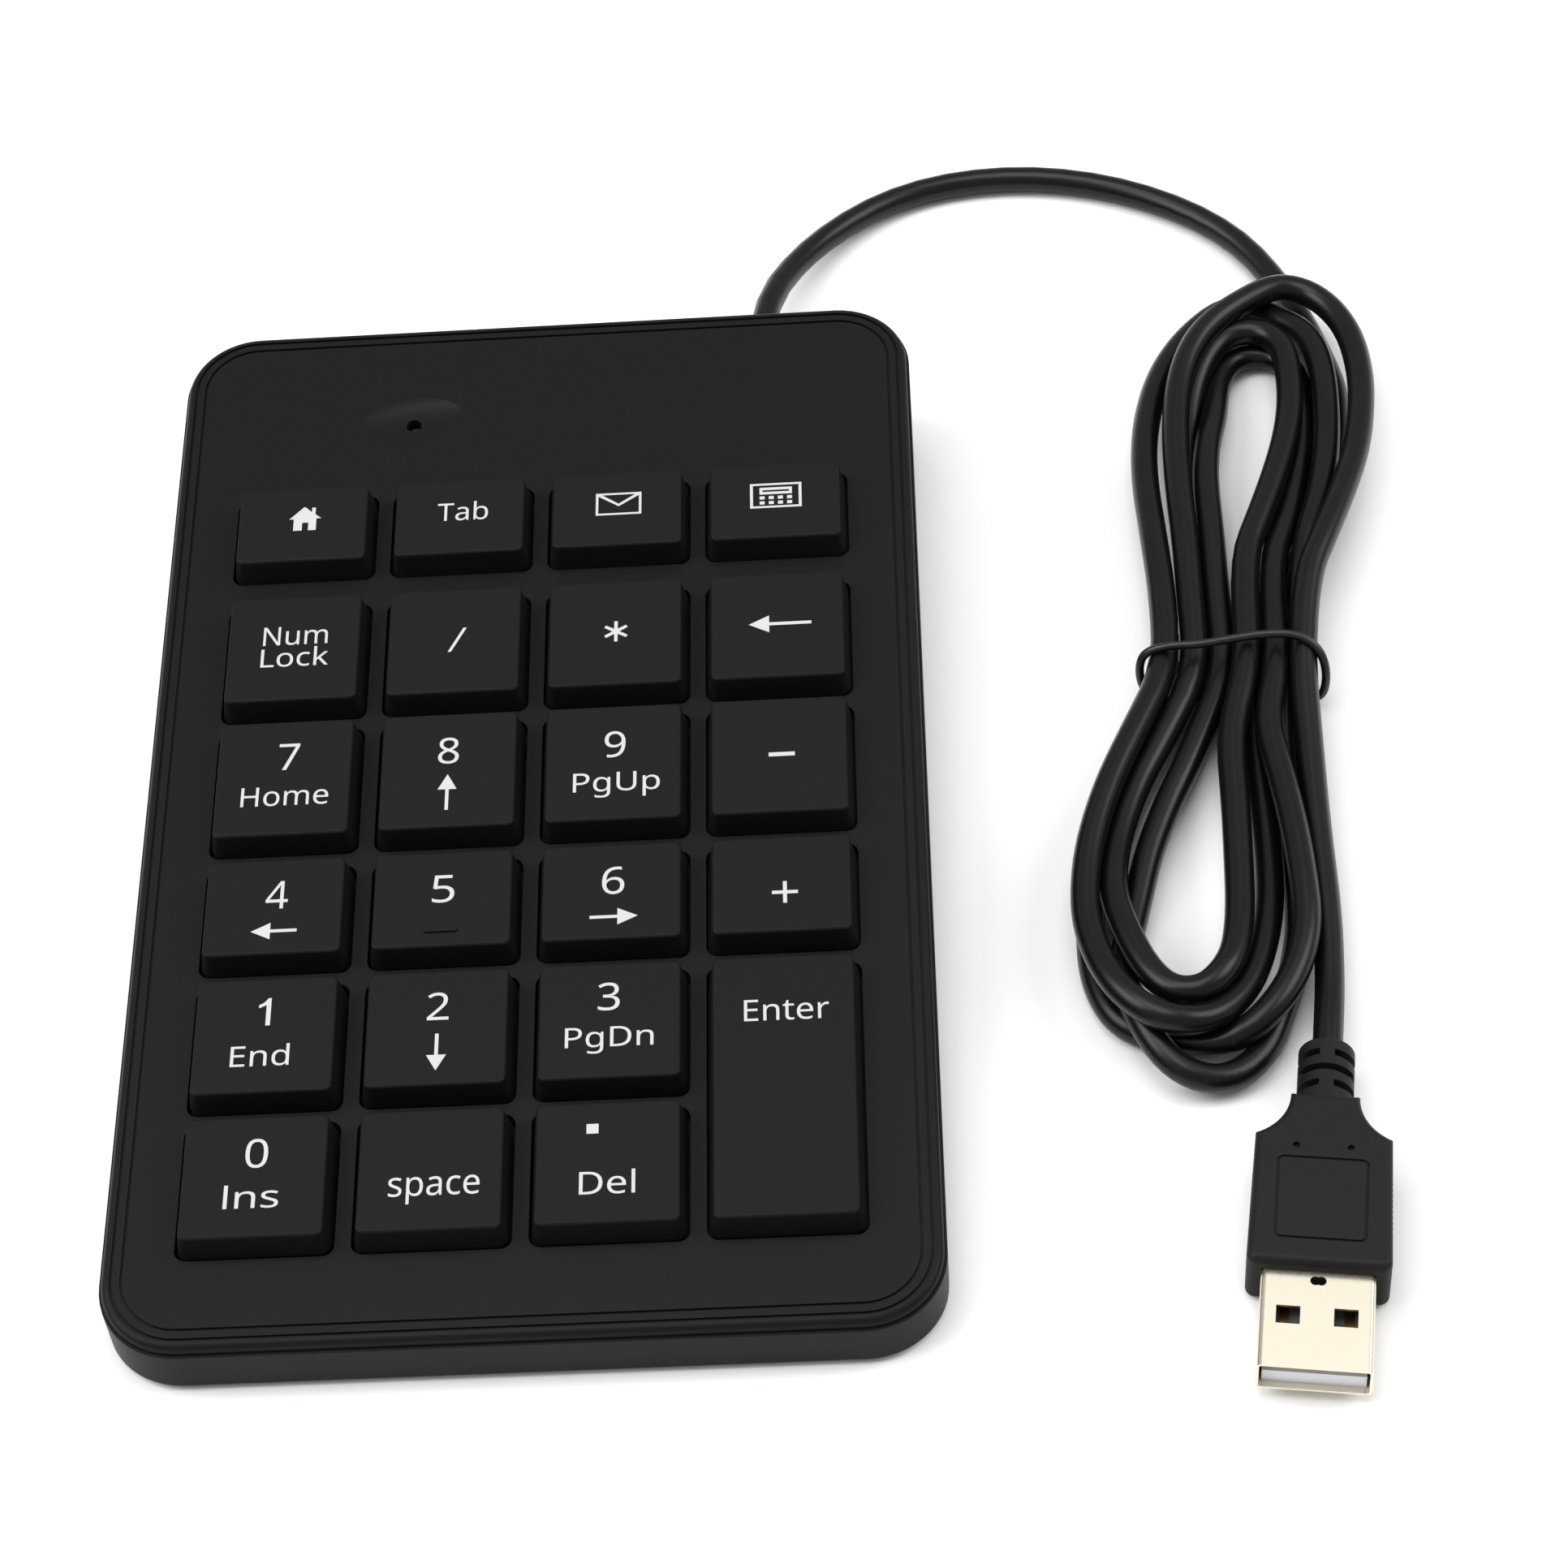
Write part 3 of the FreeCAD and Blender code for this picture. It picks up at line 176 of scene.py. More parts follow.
# the same ABS for the keys, in a coarser, duller tool finish
keyAbs = addGrain(newMaterial("mouldedAbsKey", "#141414", roughness=0.52, Specular_IOR_Level=0.1),
                  grain=0.3, height=0.012, spread=0.05)
# pad-printed two-part ink: flat, opaque light grey, a little glossier than the key
printInk = newMaterial("padPrintedInk", "#bcbcbc", roughness=0.5)
# extruded PVC jacket: smooth satin, so light runs along it in long soft streaks
pvcJacket = addGrain(newMaterial("extrudedPvcJacket", "#090909", roughness=0.3, Specular_IOR_Level=0.26),
                     grain=1.6, height=0.004)
# PVC moulded over the plug in an etched tool: duller than the jacket
plugPvc = addGrain(newMaterial("mouldedPvcPlug", "#171616", roughness=0.52, Specular_IOR_Level=0.16),
                   grain=0.35, height=0.014, spread=0.05)
# soft PVC of the strain relief in the wall
bootPvc = addGrain(newMaterial("mouldedPvcBoot", "#080808", roughness=0.5), grain=0.5, height=0.01)
# thin PVC over the twist tie's wire
tiePvc = newMaterial("extrudedPvcTie", "#070707", roughness=0.36)
# steel strip, nickel plated and deep drawn: warm pale grey, bright, with a faint unevenness
nickelShell = addGrain(newMaterial("nickelPlatedSteel", "#e3dcc9", roughness=0.26, Metallic=1.0),
                       grain=0.5, height=0.002, spread=0.04)
# glass-filled nylon tongue, moulded white
# painted shade: it is coloured darker behind its front end, standing in for the shade inside the shell, which
# makes the shell's windows dark; the distances are in mm from the front
tongueSettings = {"color": "#dcdde2", "whiteTo": 1.6, "darkFrom": 3.2, "darkest": 0.12}
nylonTongue = newMaterial("mouldedNylonTongue", tongueSettings["color"], roughness=0.45)
tongueCoords = addNode(nylonTongue, "ShaderNodeTexCoord")
tongueAxes = addNode(nylonTongue, "ShaderNodeSeparateXYZ", [("Vector", tongueCoords, "Object")])
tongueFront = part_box("plug_tongue")[0][1]
# painted shade: the tongue's white fades to dark grey behind its front end
tonguePaintedShade = addNode(nylonTongue, "ShaderNodeMapRange", [("Value", tongueAxes, "Y")],
                     From_Min=tongueFront + tongueSettings["whiteTo"] * mm,
                     From_Max=tongueFront + tongueSettings["darkFrom"] * mm,
                     To_Min=1.0, To_Max=tongueSettings["darkest"])
tongueTint = addNode(nylonTongue, "ShaderNodeHueSaturation", [("Value", tonguePaintedShade, "Result")],
                     Color=fromHex(tongueSettings["color"]))
nylonTongue.node_tree.links.new(tongueTint.outputs["Color"],
                                nylonTongue.node_tree.nodes["Principled BSDF"].inputs["Base Color"])
# gold flash on phosphor bronze, stamped
goldContact = newMaterial("goldFlashedBronze", "#d8a850", roughness=0.22, Metallic=1.0)
# silicone sheet, compression moulded: milky and matte
milkySilicone = newMaterial("mouldedSilicone", "#c9ced0", roughness=0.55, Subsurface_Weight=0.2,
                            Subsurface_Scale=0.001)
# polyester film, cast: pale grey with a hard gloss, drawn opaque
polyesterFilm = newMaterial("castPolyesterFilm", "#cfd8dc", roughness=0.12)
# galvanised steel sheet, rolled: dull spangled grey
galvanisedSteel = addGrain(newMaterial("galvanisedSheet", "#a9adae", roughness=0.38, Metallic=1.0),
                           grain=2.5, height=0.004, spread=0.1)
# zinc-plated steel, cold formed screws
zincSteel = newMaterial("zincPlatedSteel", "#b6b8ba", roughness=0.3, Metallic=1.0)
# hard-drawn spring wire, bright
springWire = newMaterial("drawnSpringSteel", "#b9babb", roughness=0.22, Metallic=1.0)
# glass-epoxy laminate under green solder mask, screen coated
solderMask = newMaterial("solderMaskedLaminate", "#1d6138", roughness=0.3, Coat_Weight=0.4,
                         Coat_Roughness=0.15)
# epoxy: cast for the light and tinted dark grey as painted shade of the hole it sits in; poured black over the
# chip
ledEpoxyPaintedShade = newMaterial("castLedEpoxyPaintedShade", "#3c403a", roughness=0.35, Transmission_Weight=0.3)
blackEpoxy = newMaterial("pouredBlackEpoxy", "#0c0c0c", roughness=0.16)
# small things on the board
canSteel = newMaterial("drawnCanSteel", "#c6c7c7", roughness=0.26, Metallic=1.0)
firedCeramic = newMaterial("firedCeramicChip", "#6b5544", roughness=0.5)
whiteNylon = newMaterial("mouldedWhiteNylon", "#e4e2da", roughness=0.4)
redJacket = newMaterial("extrudedPvcLead", "#8c2a22", roughness=0.4)
# moulded EPDM: very matte, dark
footRubber = addGrain(newMaterial("mouldedEpdm", "#1b1b1b", roughness=0.85), grain=0.4, height=0.015)
# PBT moulded for the clamping bar: plain dark grey
barPbt = newMaterial("mouldedPbtBar", "#262626", roughness=0.5)

finishOfSlot = {
    "case_plastic": caseAbs, "key_plastic": keyAbs, "wire_steel": springWire, "foot_rubber": footRubber,
    "screw_steel": zincSteel, "silicone": milkySilicone, "film": polyesterFilm,
    "plate_steel": galvanisedSteel, "board": solderMask, "bar_plastic": barPbt,
    "led_resin": ledEpoxyPaintedShade, "board_resin": blackEpoxy, "can_metal": canSteel,
    "chip_parts": firedCeramic, "socket_plastic": whiteNylon, "wire_jacket": redJacket,
    "boot_rubber": bootPvc, "cable_jacket": pvcJacket, "tie_plastic": tiePvc, "plug_plastic": plugPvc,
    "shell_metal": nickelShell, "tongue_plastic": nylonTongue, "contact_gold": goldContact,
}
for row in frame["record"]["subparts"]:
    mesh = nodes[row["node"]].data
    mesh.materials.clear()
    mesh.materials.append(finishOfSlot[row["material_slot"]])
print("stage: finishes on the CAD nodes")

# the cable, from inside the back wall to the plug, in mm
# each part of the hank is one half turn: down one side and round the front, or up and round the back
cableSettings = {
    "diameter": 3.4,
    "length": 1242.0,
    "exit": (25.5, 71.5, 6.5),
    "fromWall": [
        (25.5, 66.0, 6.5), (25.5, 83.5, 6.5), (31.6, 100.0, 2.9), (44.0, 111.7, 1.7), (59.5, 114.6, 1.7),
        (75.0, 110.9, 1.7), (88.3, 101.5, 1.7), (95.0, 88.5, 1.7), (99.2, 72.1, 1.7), (99.3, 66.5, 1.7),
        (98.7, 60.0, 1.7), (96.5, 51.8, 1.7), (93.2, 43.0, 1.7), (89.8, 34.2, 1.7), (84.1, 19.3, 1.7)],
    "frontOne": [
        (84.0, 11.7, 2.1), (84.2, 1.1, 2.4), (84.0, -9.9, 2.8), (83.2, -17.4, 3.4), (81.0, -25.2, 4.2),
        (78.3, -30.0, 5.2), (75.1, -32.9, 6.3), (71.8, -33.6, 7.2), (68.7, -32.6, 7.6), (65.6, -29.4, 7.6),
        (63.5, -24.4, 7.1), (62.4, -18.4, 6.8), (62.7, -12.6, 6.7), (63.8, -6.4, 6.7), (66.2, 1.3, 6.7),
        (69.5, 8.9, 6.5), (74.3, 19.6, 6.0)],
    "backOne": [
        (74.7, 31.9, 5.6), (74.3, 42.5, 5.2), (73.9, 52.2, 4.8), (74.4, 60.2, 4.5), (76.0, 68.0, 4.1),
        (78.4, 74.3, 3.8), (81.8, 79.7, 3.4), (86.2, 84.1, 3.2), (90.3, 84.1, 3.3), (93.3, 80.9, 3.9),
        (95.8, 78.1, 4.6), (97.3, 74.1, 4.9), (97.8, 68.5, 5.0), (97.4, 60.4, 5.0), (96.4, 53.1, 5.1),
        (94.9, 46.7, 5.1), (93.1, 41.3, 5.1), (91.7, 34.4, 4.3), (88.5, 19.2, 2.6)],
    "frontTwo": [
        (87.4, 8.2, 2.1), (87.6, -0.8, 1.7), (87.3, -9.9, 1.7), (87.0, -16.9, 1.7), (85.6, -23.3, 1.7),
        (83.7, -28.7, 1.7), (81.7, -34.0, 1.7), (78.1, -37.8, 2.0), (74.2, -38.6, 2.8), (70.7, -36.8, 3.7),
        (68.0, -32.3, 4.7), (66.6, -27.0, 4.4), (66.4, -21.8, 3.0), (67.7, -16.9, 2.6), (68.9, -12.1, 2.7),
        (70.4, -6.2, 3.0), (73.2, 1.1, 3.3), (76.1, 7.0, 3.8), (81.3, 19.6, 4.2)],
    "backTwo": [
        (81.2, 32.8, 4.5), (81.4, 42.7, 4.8), (81.4, 51.9, 4.7), (82.2, 58.6, 4.3), (83.6, 64.4, 3.2),
        (84.6, 72.2, 1.9), (86.5, 75.8, 1.7), (89.6, 76.9, 1.7), (92.8, 75.9, 1.8), (94.8, 72.3, 2.0),
        (94.8, 66.6, 2.3), (94.4, 60.0, 2.7), (92.7, 52.3, 3.2), (90.7, 44.3, 4.0), (88.2, 37.1, 5.0),
        (87.4, 19.1, 5.8)],
    "frontThree": [
        (85.3, 10.6, 5.8), (86.3, 2.7, 5.9), (87.1, -6.0, 6.1), (87.4, -14.1, 6.1), (87.3, -19.6, 5.9),
        (86.0, -24.9, 5.6), (83.5, -29.6, 5.3), (79.9, -33.2, 4.5), (76.4, -33.6, 2.8), (72.8, -32.8, 1.9),
        (69.3, -31.9, 1.7), (65.5, -29.5, 1.7), (63.7, -25.5, 1.7), (63.0, -21.2, 1.7), (63.1, -15.6, 1.7),
        (63.8, -8.5, 1.7), (65.4, -1.3, 1.7), (68.2, 5.8, 1.8), (71.5, 13.1, 1.8), (76.0, 19.0, 1.8)],
    "backThree": [
        (79.9, 35.9, 1.7), (79.8, 44.7, 1.7), (79.8, 54.0, 1.7), (79.8, 61.2, 1.9), (80.9, 68.3, 3.1),
        (82.7, 73.2, 4.2), (85.0, 76.8, 4.7), (88.2, 78.3, 4.9), (91.3, 77.3, 5.1), (93.1, 74.3, 5.3),
        (93.4, 69.3, 5.4), (93.0, 63.1, 5.6), (91.8, 57.2, 5.7), (89.8, 50.5, 5.9), (87.3, 43.4, 6.1),
        (84.8, 36.8, 6.1), (84.0, 19.2, 6.1)],
    "frontFour": [
        (80.9, 9.0, 6.0), (80.7, -1.8, 6.0), (80.3, -10.7, 6.1), (79.9, -17.7, 6.3), (79.0, -23.4, 6.7),
        (77.4, -27.0, 7.2), (74.8, -29.4, 7.0), (71.4, -29.1, 6.7), (68.8, -25.8, 6.5), (66.7, -19.5, 6.3),
        (65.8, -14.2, 5.6), (66.1, -9.4, 4.9), (67.1, -4.3, 4.5), (69.6, 2.9, 4.4), (72.6, 8.7, 4.6),
        (77.9, 19.5, 5.1)],
    "backFour": [
        (78.0, 31.5, 5.5), (78.1, 40.4, 5.8), (77.9, 50.9, 5.9), (78.2, 59.5, 6.2), (79.1, 67.2, 6.5),
        (81.3, 73.6, 7.0), (84.5, 78.2, 7.1), (88.6, 81.6, 7.0), (92.9, 84.3, 6.8), (96.7, 83.7, 6.3),
        (99.7, 80.5, 6.1), (101.7, 75.5, 6.0), (102.3, 69.1, 6.0), (101.9, 62.7, 6.2), (100.5, 54.6, 6.5),
        (97.8, 46.5, 7.1), (94.8, 38.8, 7.6), (92.1, 32.4, 7.4), (90.3, 19.4, 6.1)],
    "toPlug": [
        (90.1, 8.0, 4.9), (89.8, -4.0, 4.2), (89.9, -16.6, 3.6), (89.2, -26.6, 3.4), (88.5, -32.0, 3.9),
        (87.9, -36.5, 3.9)],
}
cableOrder = ("fromWall", "frontOne", "backOne", "frontTwo", "backTwo", "frontThree", "backThree",
              "frontFour", "backFour", "toPlug")


lineSettings = {"order": 3, "quarterSteps": 5}


def nurbsLine(name, points, radius, closed=False, resolution=4):
    # points in mm
    data = bpy.data.curves.new(name, "CURVE")
    data.dimensions = "3D"
    spline = data.splines.new("NURBS")
    spline.points.add(len(points) - 1)
    for place, point in zip(points, spline.points):
        point.co = (place[0] * mm, place[1] * mm, place[2] * mm, 1.0)
    spline.order_u = lineSettings["order"]
    spline.use_cyclic_u = closed
    spline.use_endpoint_u = not closed
    data.resolution_u = resolution
    data.bevel_depth = radius * mm
    data.bevel_resolution = lineSettings["quarterSteps"]
    data.use_fill_caps = not closed
    obj = bpy.data.objects.new(name, data)
    bpy.context.scene.collection.objects.link(obj)
    return obj


def makeCable(s):
    route = [point for part in cableOrder for point in s[part]]
    cable = nurbsLine("tied_cable", route, s["diameter"] / 2)
    cable.data.materials.append(pvcJacket)
    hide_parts("cable_lead", "cable_hank", "cable_end")
    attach(cable, "case")
    return cable


cable = makeCable(cableSettings)
print("stage: cable,", len(cable.data.splines[0].points), "points")

# the twist tie round the hank's waist: one loop of covered wire, twisted under the hank, in mm
tieSettings = {
    "radius": 0.52,
    "resolution": 8,
    "smoothUnder": 50,
    "loop": [
        (71.0, 20.4, 4.6), (71.6, 21.2, 7.2), (74.6, 20.9, 8.5), (78.0, 20.7, 8.6), (82.0, 21.3, 8.7),
        (86.0, 21.8, 8.8), (90.0, 21.6, 8.7), (92.6, 20.0, 7.4), (93.3, 18.2, 4.6), (92.6, 17.4, 1.4),
        (88.5, 18.6, 0.55), (82.0, 19.4, 0.55), (76.0, 19.6, 0.55), (71.8, 19.7, 1.5)],
}


def makeTie(s):
    tie = nurbsLine("twist_tie", s["loop"], s["radius"], closed=True, resolution=s["resolution"])
    selectOnly(tie)
    bpy.ops.object.convert(target="MESH")
    tie.data.materials.append(tiePvc)
    bpy.ops.object.shade_smooth_by_angle(angle=math.radians(s["smoothUnder"]))
    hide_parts("cable_tie")
    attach(tie, "case")
    return tie


tie = makeTie(tieSettings)
print("stage: twist tie")

# printed legends: each line is (what, right, back, width, height) in mm, from the middle of the key's face
# an upright arrow's length comes before its width; "lns" has a small l, for a plain upright stroke
legendSettings = {
    "thickness": 0.012,
    "lift": 0.004,
    "facePlay": 0.02,
    "curveSteps": 4,
    "rawDepth": 0.05,
    "keys": {
        "key_0": [("0", 0.2, 2.8, 2.45, 3.6), ("lns", -0.1, -2.5, 5.95, 2.9)],
        "key_space": [("space", 0.5, -2.6, 9.8, 3.3)],
        "key_decimal": [("dot", -1.65, 4.1, 1.3, 1.2), ("Del", 0.0, -2.5, 6.0, 2.95)],
        "key_1": [("one", -0.1, 2.95, 1.35, 3.55), ("End", -0.3, -2.65, 6.5, 2.8)],
        "key_2": [("2", 0.1, 2.7, 2.4, 3.55), ("arrowDown", 0.1, -3.2, 4.7, 2.2)],
        "key_3": [("3", -0.1, 3.0, 2.4, 3.6), ("PgDn", 0.0, -2.6, 9.7, 3.4)],
        "key_4": [("4", 0.3, 1.5, 2.5, 3.7), ("arrowLeft", 0.2, -3.35, 5.2, 2.2)],
        "key_5": [("5", 0.1, 1.3, 2.5, 3.7)],
        "key_6": [("6", 0.2, 1.4, 2.5, 3.7), ("arrowRight", 0.3, -3.45, 5.4, 2.2)],
        "key_plus": [("plus", 0.4, -1.2, 2.9, 2.9)],
        "key_7": [("7", 0.5, 2.9, 2.4, 3.7), ("Home", 0.3, -2.65, 10.1, 2.7)],
        "key_8": [("8", 0.0, 2.7, 2.4, 3.7), ("arrowUp", 0.0, -3.15, 5.0, 2.2)],
        "key_9": [("9", 0.2, 2.5, 2.4, 3.7), ("PgUp", 0.4, -3.2, 9.95, 3.5)],
        "key_minus": [("minus", 0.3, 0.0, 3.0, 0.55)],
        "key_num_lock": [("Num", 0.2, 1.8, 7.65, 2.75), ("Lock", 0.25, -1.35, 8.0, 2.85)],
        "key_divide": [("slash", 0.4, 0.0, 2.15, 3.5)],
        "key_multiply": [("star", 0.1, 0.1, 2.75, 3.0)],
        "key_backspace": [("longArrow", 0.35, 0.1, 7.35, 2.5)],
        "key_home": [("house", 0.3, 0.8, 3.9, 3.6)],
        "key_tab": [("Tab", 0.4, 0.8, 6.1, 2.9)],
        "key_mail": [("envelope", 0.2, 0.7, 5.5, 3.4)],
        "key_calculator": [("calculator", 0.1, 0.8, 6.2, 3.8)],
        "key_enter": [("Enter", 0.35, 9.3, 9.3, 2.75)],
    },
}


def rectangle(x0, y0, x1, y1):
    return [(x0, y0), (x1, y0), (x1, y1), (x0, y1)]


def arrow(length, head, half, shaft):
    # points to the left, from 0 to length
    return [(0, 0), (head, half), (head, shaft), (length, shaft),
            (length, -shaft), (head, -shaft), (head, -half)]


def grid(columns, rows, left, bottom, stepAcross, stepUp, width, height):
    corners = [(left + stepAcross * c, bottom + stepUp * r) for c in range(columns) for r in range(rows)]
    return [rectangle(x, y, x + width, y + height) for x, y in corners]


def star(arms, inner, outer, half):
    # one outline with square-ended arms, the first of them straight up
    points = []
    for arm in range(arms):
        turn = math.radians(90 + arm * 360 / arms)
        out = Vector((math.cos(turn), math.sin(turn)))
        side = Vector((-out.y, out.x))
        notch = turn - math.pi / arms
        points += [(inner * math.cos(notch), inner * math.sin(notch)),
                   tuple(out * outer - side * half), tuple(out * outer + side * half)]
    return points


# flat outlines; an outline inside another is a hole, and the whole is scaled to its legend's size
shapes = {
    "dot": [rectangle(0, 0, 1, 1)],
    "minus": [rectangle(0, 0, 1, 1)],
    "slash": [[(-1.07, -1.75), (-0.68, -1.75), (1.07, 1.75), (0.68, 1.75)]],
    "one": [[(0.62, 0), (1.0, 0), (1.0, 3.55), (0.76, 3.55), (0.42, 2.98),
             (0.0, 2.68), (0.0, 2.28), (0.62, 2.66)]],
    "star": [star(6, 0.42, 1.5, 0.2)],
    "plus": [[(-0.22, -1.45), (0.22, -1.45), (0.22, -0.22), (1.45, -0.22), (1.45, 0.22), (0.22, 0.22),
              (0.22, 1.45), (-0.22, 1.45), (-0.22, 0.22), (-1.45, 0.22), (-1.45, -0.22), (-0.22, -0.22)]],
    "arrow": [arrow(5.2, 2.2, 1.1, 0.2)],
    "longArrow": [arrow(7.35, 2.4, 1.25, 0.22)],
    "house": [[(-1.95, -0.2), (-0.25, 1.6), (-0.05, 1.6), (0.75, 0.8), (0.75, 1.5), (1.2, 1.5), (1.2, 0.45),
               (1.95, -0.2), (1.35, -0.2), (1.35, -2.0), (0.4, -2.0), (0.4, -0.8), (-0.35, -0.8),
               (-0.35, -2.0), (-1.4, -2.0), (-1.4, -0.2)]],
    "envelope": [rectangle(-2.75, -1.7, 2.75, 1.7),
                 [(-2.0, 1.42), (2.0, 1.42), (0, 0.0)],
                 [(-2.45, 1.25), (-2.45, -1.42), (2.45, -1.42), (2.45, 1.25), (0, -0.38)]],
    "calculator": [rectangle(-3.1, -1.9, 3.1, 1.9), rectangle(-2.75, -1.6, 2.75, 1.6),
                   rectangle(-1.95, 0.2, 1.95, 1.25), rectangle(-1.6, 0.58, 1.6, 0.86),
                   *grid(4, 2, left=-1.95, bottom=-1.35, stepAcross=1.1, stepUp=0.78,
                         width=0.6, height=0.48)],
}
turnOf = {"arrowLeft": 0, "arrowDown": 90, "arrowRight": 180, "arrowUp": -90}
# where Unicode's sans-serif maths letters and digits start; Blender draws these in a plain sans-serif
sansStarts = {"A": 0x1D5A0, "a": 0x1D5BA, "0": 0x1D7E2}


def sansLetters(text):
    drawn = ""
    for letter in text:
        first = "A" if letter.isupper() else "a" if letter.islower() else "0"
        drawn += chr(sansStarts[first] + ord(letter) - ord(first))
    return drawn


def flatLegend(what):
    # a text or a set of outlines as a thin flat mesh, not yet at its printed size
    if what in shapes or what in turnOf:
        data = bpy.data.curves.new("legend", "CURVE")
        data.dimensions = "2D"
        data.fill_mode = "BOTH"
        for outline in shapes["arrow" if what in turnOf else what]:
            spline = data.splines.new("POLY")
            spline.points.add(len(outline) - 1)
            for place, point in zip(outline, spline.points):
                point.co = (place[0], place[1], 0.0, 1.0)
            spline.use_cyclic_u = True
        obj = bpy.data.objects.new("legend", data)
        bpy.context.scene.collection.objects.link(obj)
    else:
        clearSelection()
        bpy.ops.object.text_add()
        obj = bpy.context.object
        obj.data.body = sansLetters(what)
        obj.data.resolution_u = legendSettings["curveSteps"]
    obj.data.extrude = legendSettings["rawDepth"]
    selectOnly(obj)
    bpy.ops.object.convert(target="MESH")
    if what in turnOf:
        obj.data.transform(Matrix.Rotation(math.radians(turnOf[what]), 4, "Z"))
    return obj


def fitLegend(obj, right, back, width, height, thickness):
    # scales the mesh to its printed size and centres it there
    xs = [v.co.x for v in obj.data.vertices]
    ys = [v.co.y for v in obj.data.vertices]
    zs = [v.co.z for v in obj.data.vertices]
    middle = Vector(((min(xs) + max(xs)) / 2, (min(ys) + max(ys)) / 2, min(zs)))
    grow = (width / (max(xs) - min(xs)), height / (max(ys) - min(ys)), thickness / (max(zs) - min(zs)))
    obj.data.transform(Matrix.Translation(-middle))
    obj.data.transform(Matrix.Diagonal((*grow, 1.0)))
    obj.data.transform(Matrix.Translation((right, back, 0)))


# the deck's own directions, from the way the keys move
up = -Vector(frame["joints"][0]["axis"]).normalized()
across = Vector((1, 0, 0))
along = up.cross(across)
faceLevel = max(v.co @ up for v in nodes["key_4"].data.vertices)  # the other key faces lie level with it


def keyFace(node):
    # the frame of a key's flat top, in metres, with its origin in the middle of the face
    play = legendSettings["facePlay"] * mm
    flat = [v.co for v in nodes[node].data.vertices if abs(v.co @ up - faceLevel) < play]
    xs = [p.x for p in flat]
    vs = [p @ along for p in flat]
    middle = across * (min(xs) + max(xs)) / 2 + along * (min(vs) + max(vs)) / 2 + up * faceLevel
    axes = Matrix((across, along, up)).transposed().to_4x4()
    return Matrix.Translation(middle) @ axes


def makeLegends(s):
    for node, lines in s["keys"].items():
        made = []
        for what, right, back, width, height in lines:
            if what in ("arrowUp", "arrowDown"):
                width, height = height, width
            obj = flatLegend(what)
            fitLegend(obj, right, back, width, height, s["thickness"])
            made.append(obj)
        clearSelection()
        for obj in made:
            obj.select_set(True)
        bpy.context.view_layer.objects.active = made[0]
        if len(made) > 1:
            bpy.ops.object.join()
        legend = made[0]
        legend.name = "legend_" + node.removeprefix("key_")
        legend.data.transform(Matrix.Translation((0, 0, s["lift"])))
        legend.data.transform(Matrix.Scale(mm, 4))
        legend.data.transform(keyFace(node))
        legend.data.materials.clear()
        legend.data.materials.append(printInk)
        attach(legend, node + "_cap")
    print("stage: legends on", len(s["keys"]), "keys")


makeLegends(legendSettings)

# the silicone sheet under the keys, in mm: each dome gives way under its own key, so it is its own piece
domeSettings = {
    "footRadius": 4.2,
    "topRadius": 2.2,
    "wall": 0.6,
    "sheet": 0.3,
    "steps": 32,
    "axisEdge": 2,
    "play": 0.02,
}


def makeDome(node, low, high, s):
    rise = (high - low) / mm
    foot, top, wall = s["footRadius"], s["topRadius"], s["wall"]
    profile = [(foot, 0, 0), (top, 0, rise), (0, 0, rise),
               (0, 0, rise - wall), (top - wall, 0, rise - wall), (foot - wall, 0, 0)]
    # the profile's edge on the axis is left out, so the spun dome stays hollow
    around = [(n, (n + 1) % len(profile)) for n in range(len(profile)) if n != s["axisEdge"]]
    data = bpy.data.meshes.new("dome")
    data.from_pydata(profile, around, [])
    dome = bpy.data.objects.new("dome_" + node.removeprefix("key_"), data)
    bpy.context.scene.collection.objects.link(dome)
    selectOnly(dome)
    bpy.ops.object.mode_set(mode="EDIT")
    bpy.ops.mesh.select_all(action="SELECT")
    bpy.ops.mesh.spin(steps=s["steps"], angle=2 * math.pi, center=(0, 0, 0), axis=(0, 0, 1))
    bpy.ops.mesh.select_all(action="SELECT")
    bpy.ops.mesh.remove_doubles(threshold=s["play"])
    bpy.ops.mesh.normals_make_consistent(inside=False)
    bpy.ops.object.mode_set(mode="OBJECT")
    place = keyFace(node) @ Matrix.Translation((0, 0, low - faceLevel))
    data.transform(Matrix.Scale(mm, 4))
    data.transform(place)
    data.materials.append(milkySilicone)
    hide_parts("dome_sheet")
    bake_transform(dome)


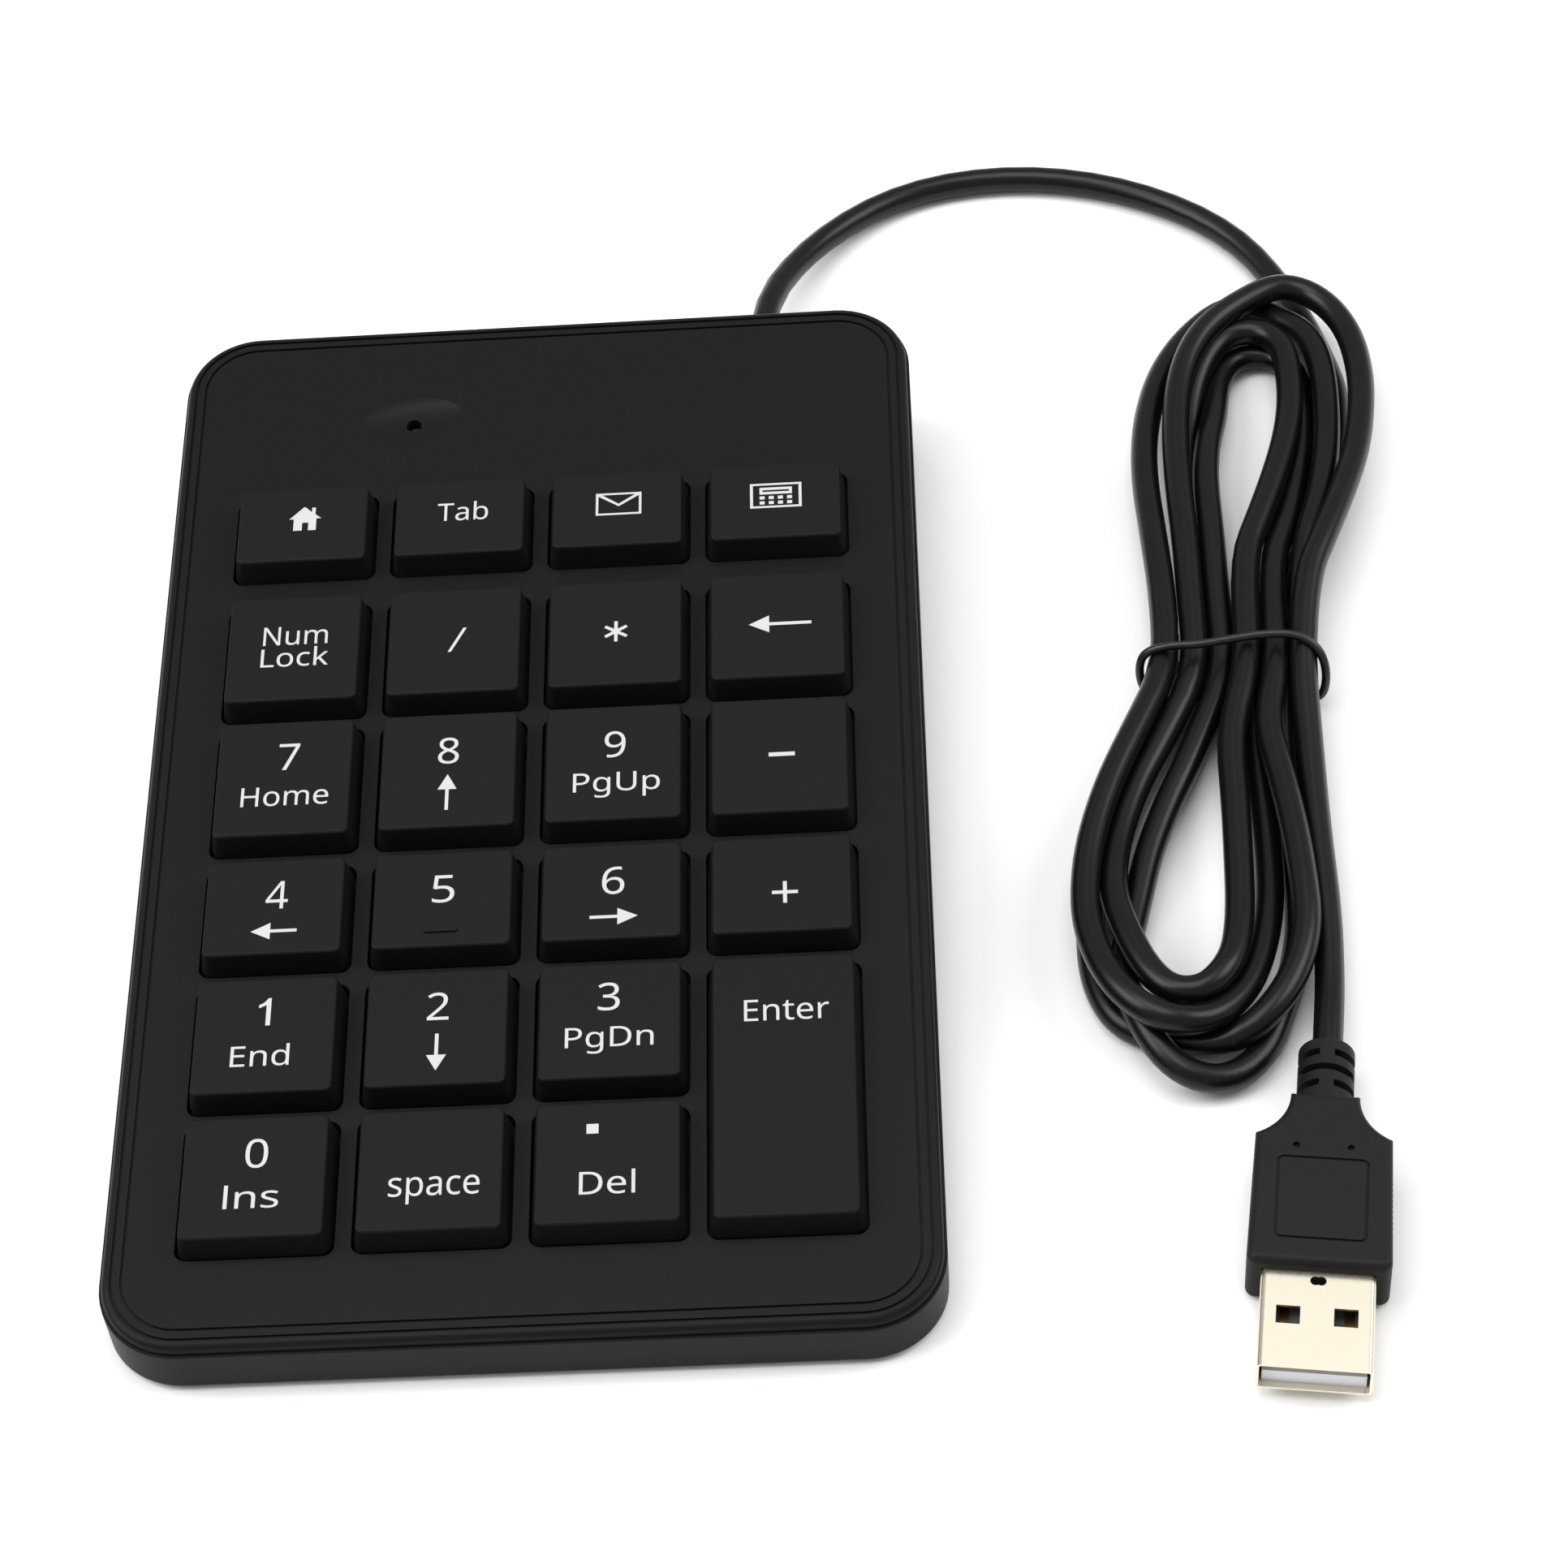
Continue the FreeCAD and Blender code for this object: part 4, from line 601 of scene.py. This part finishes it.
def makeDomeSheet(s):
    sheet = bpy.data.objects.new("silicone_sheet", nodes["dome_sheet"].data.copy())
    bpy.context.scene.collection.objects.link(sheet)
    levels = [v.co @ up for v in sheet.data.vertices]
    low, high = min(levels), max(levels)
    selectOnly(sheet)
    bpy.ops.object.mode_set(mode="EDIT")
    bpy.ops.mesh.select_mode(type="VERT")
    bpy.ops.mesh.select_all(action="DESELECT")
    bpy.ops.object.mode_set(mode="OBJECT")
    for v in sheet.data.vertices:
        v.select = v.co @ up > low + (s["sheet"] + s["play"]) * mm
    bpy.ops.object.mode_set(mode="EDIT")
    bpy.ops.mesh.delete(type="VERT")
    bpy.ops.object.mode_set(mode="OBJECT")
    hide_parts("dome_sheet")
    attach(sheet, "case")
    for node in legendSettings["keys"]:
        makeDome(node, low, high, s)


makeDomeSheet(domeSettings)
print("stage: silicone sheet and domes")

# floor and light: a pale table under large soft lights
stageSettings = {
    "viewTransform": "Standard",
    "floorSize": 6.0,
    "floorDrop": 0.0002,
    "lightTarget": (0.03, 0.0, 0.0),
    "floorColor": "#f4f4f4",
    "worldColor": "#ffffff",
    "worldStrength": 0.5,
    # name: (place in metres, size in metres, watts, seen only in reflections)
    "lights": {
        "leftSoftbox": ((-1.0, -0.1, 1.1), 0.9, 14.0, False),
        "rightSoftbox": ((1.2, 0.2, 1.1), 0.9, 12.0, False),
        "topSoftbox": ((-0.1, 0.05, 1.6), 1.0, 12.0, False),
        "plugCard": ((0.15, 0.24, 0.5), 0.26, 0.15, True),  # stands in for a white card by the plug
    },
}


def makeStage(s):
    clearSelection()
    bpy.ops.mesh.primitive_plane_add(size=s["floorSize"], location=(0, 0, cadBounds[0][2] - s["floorDrop"]))
    floor = bpy.context.object
    floor.name = "paleFloor"
    floor.data.materials.append(newMaterial("paintedBoardFloor", s["floorColor"], 0.9))
    world = bpy.data.worlds.new("paleRoom")
    world.use_nodes = True
    background = world.node_tree.nodes["Background"]
    background.inputs["Color"].default_value = fromHex(s["worldColor"])
    background.inputs["Strength"].default_value = s["worldStrength"]
    bpy.context.scene.world = world
    bpy.context.scene.view_settings.view_transform = s["viewTransform"]
    target = Vector(s["lightTarget"])
    for name, (place, size, watts, mirrored) in s["lights"].items():
        data = bpy.data.lights.new(name, "AREA")
        data.shape = "SQUARE"
        data.size = size
        data.energy = watts
        light = bpy.data.objects.new(name, data)
        bpy.context.scene.collection.objects.link(light)
        light.location = place
        light.visible_diffuse = not mirrored
        light.rotation_euler = (target - Vector(place)).to_track_quat("-Z", "Y").to_euler()


makeStage(stageSettings)
print("stage: floor and lights")
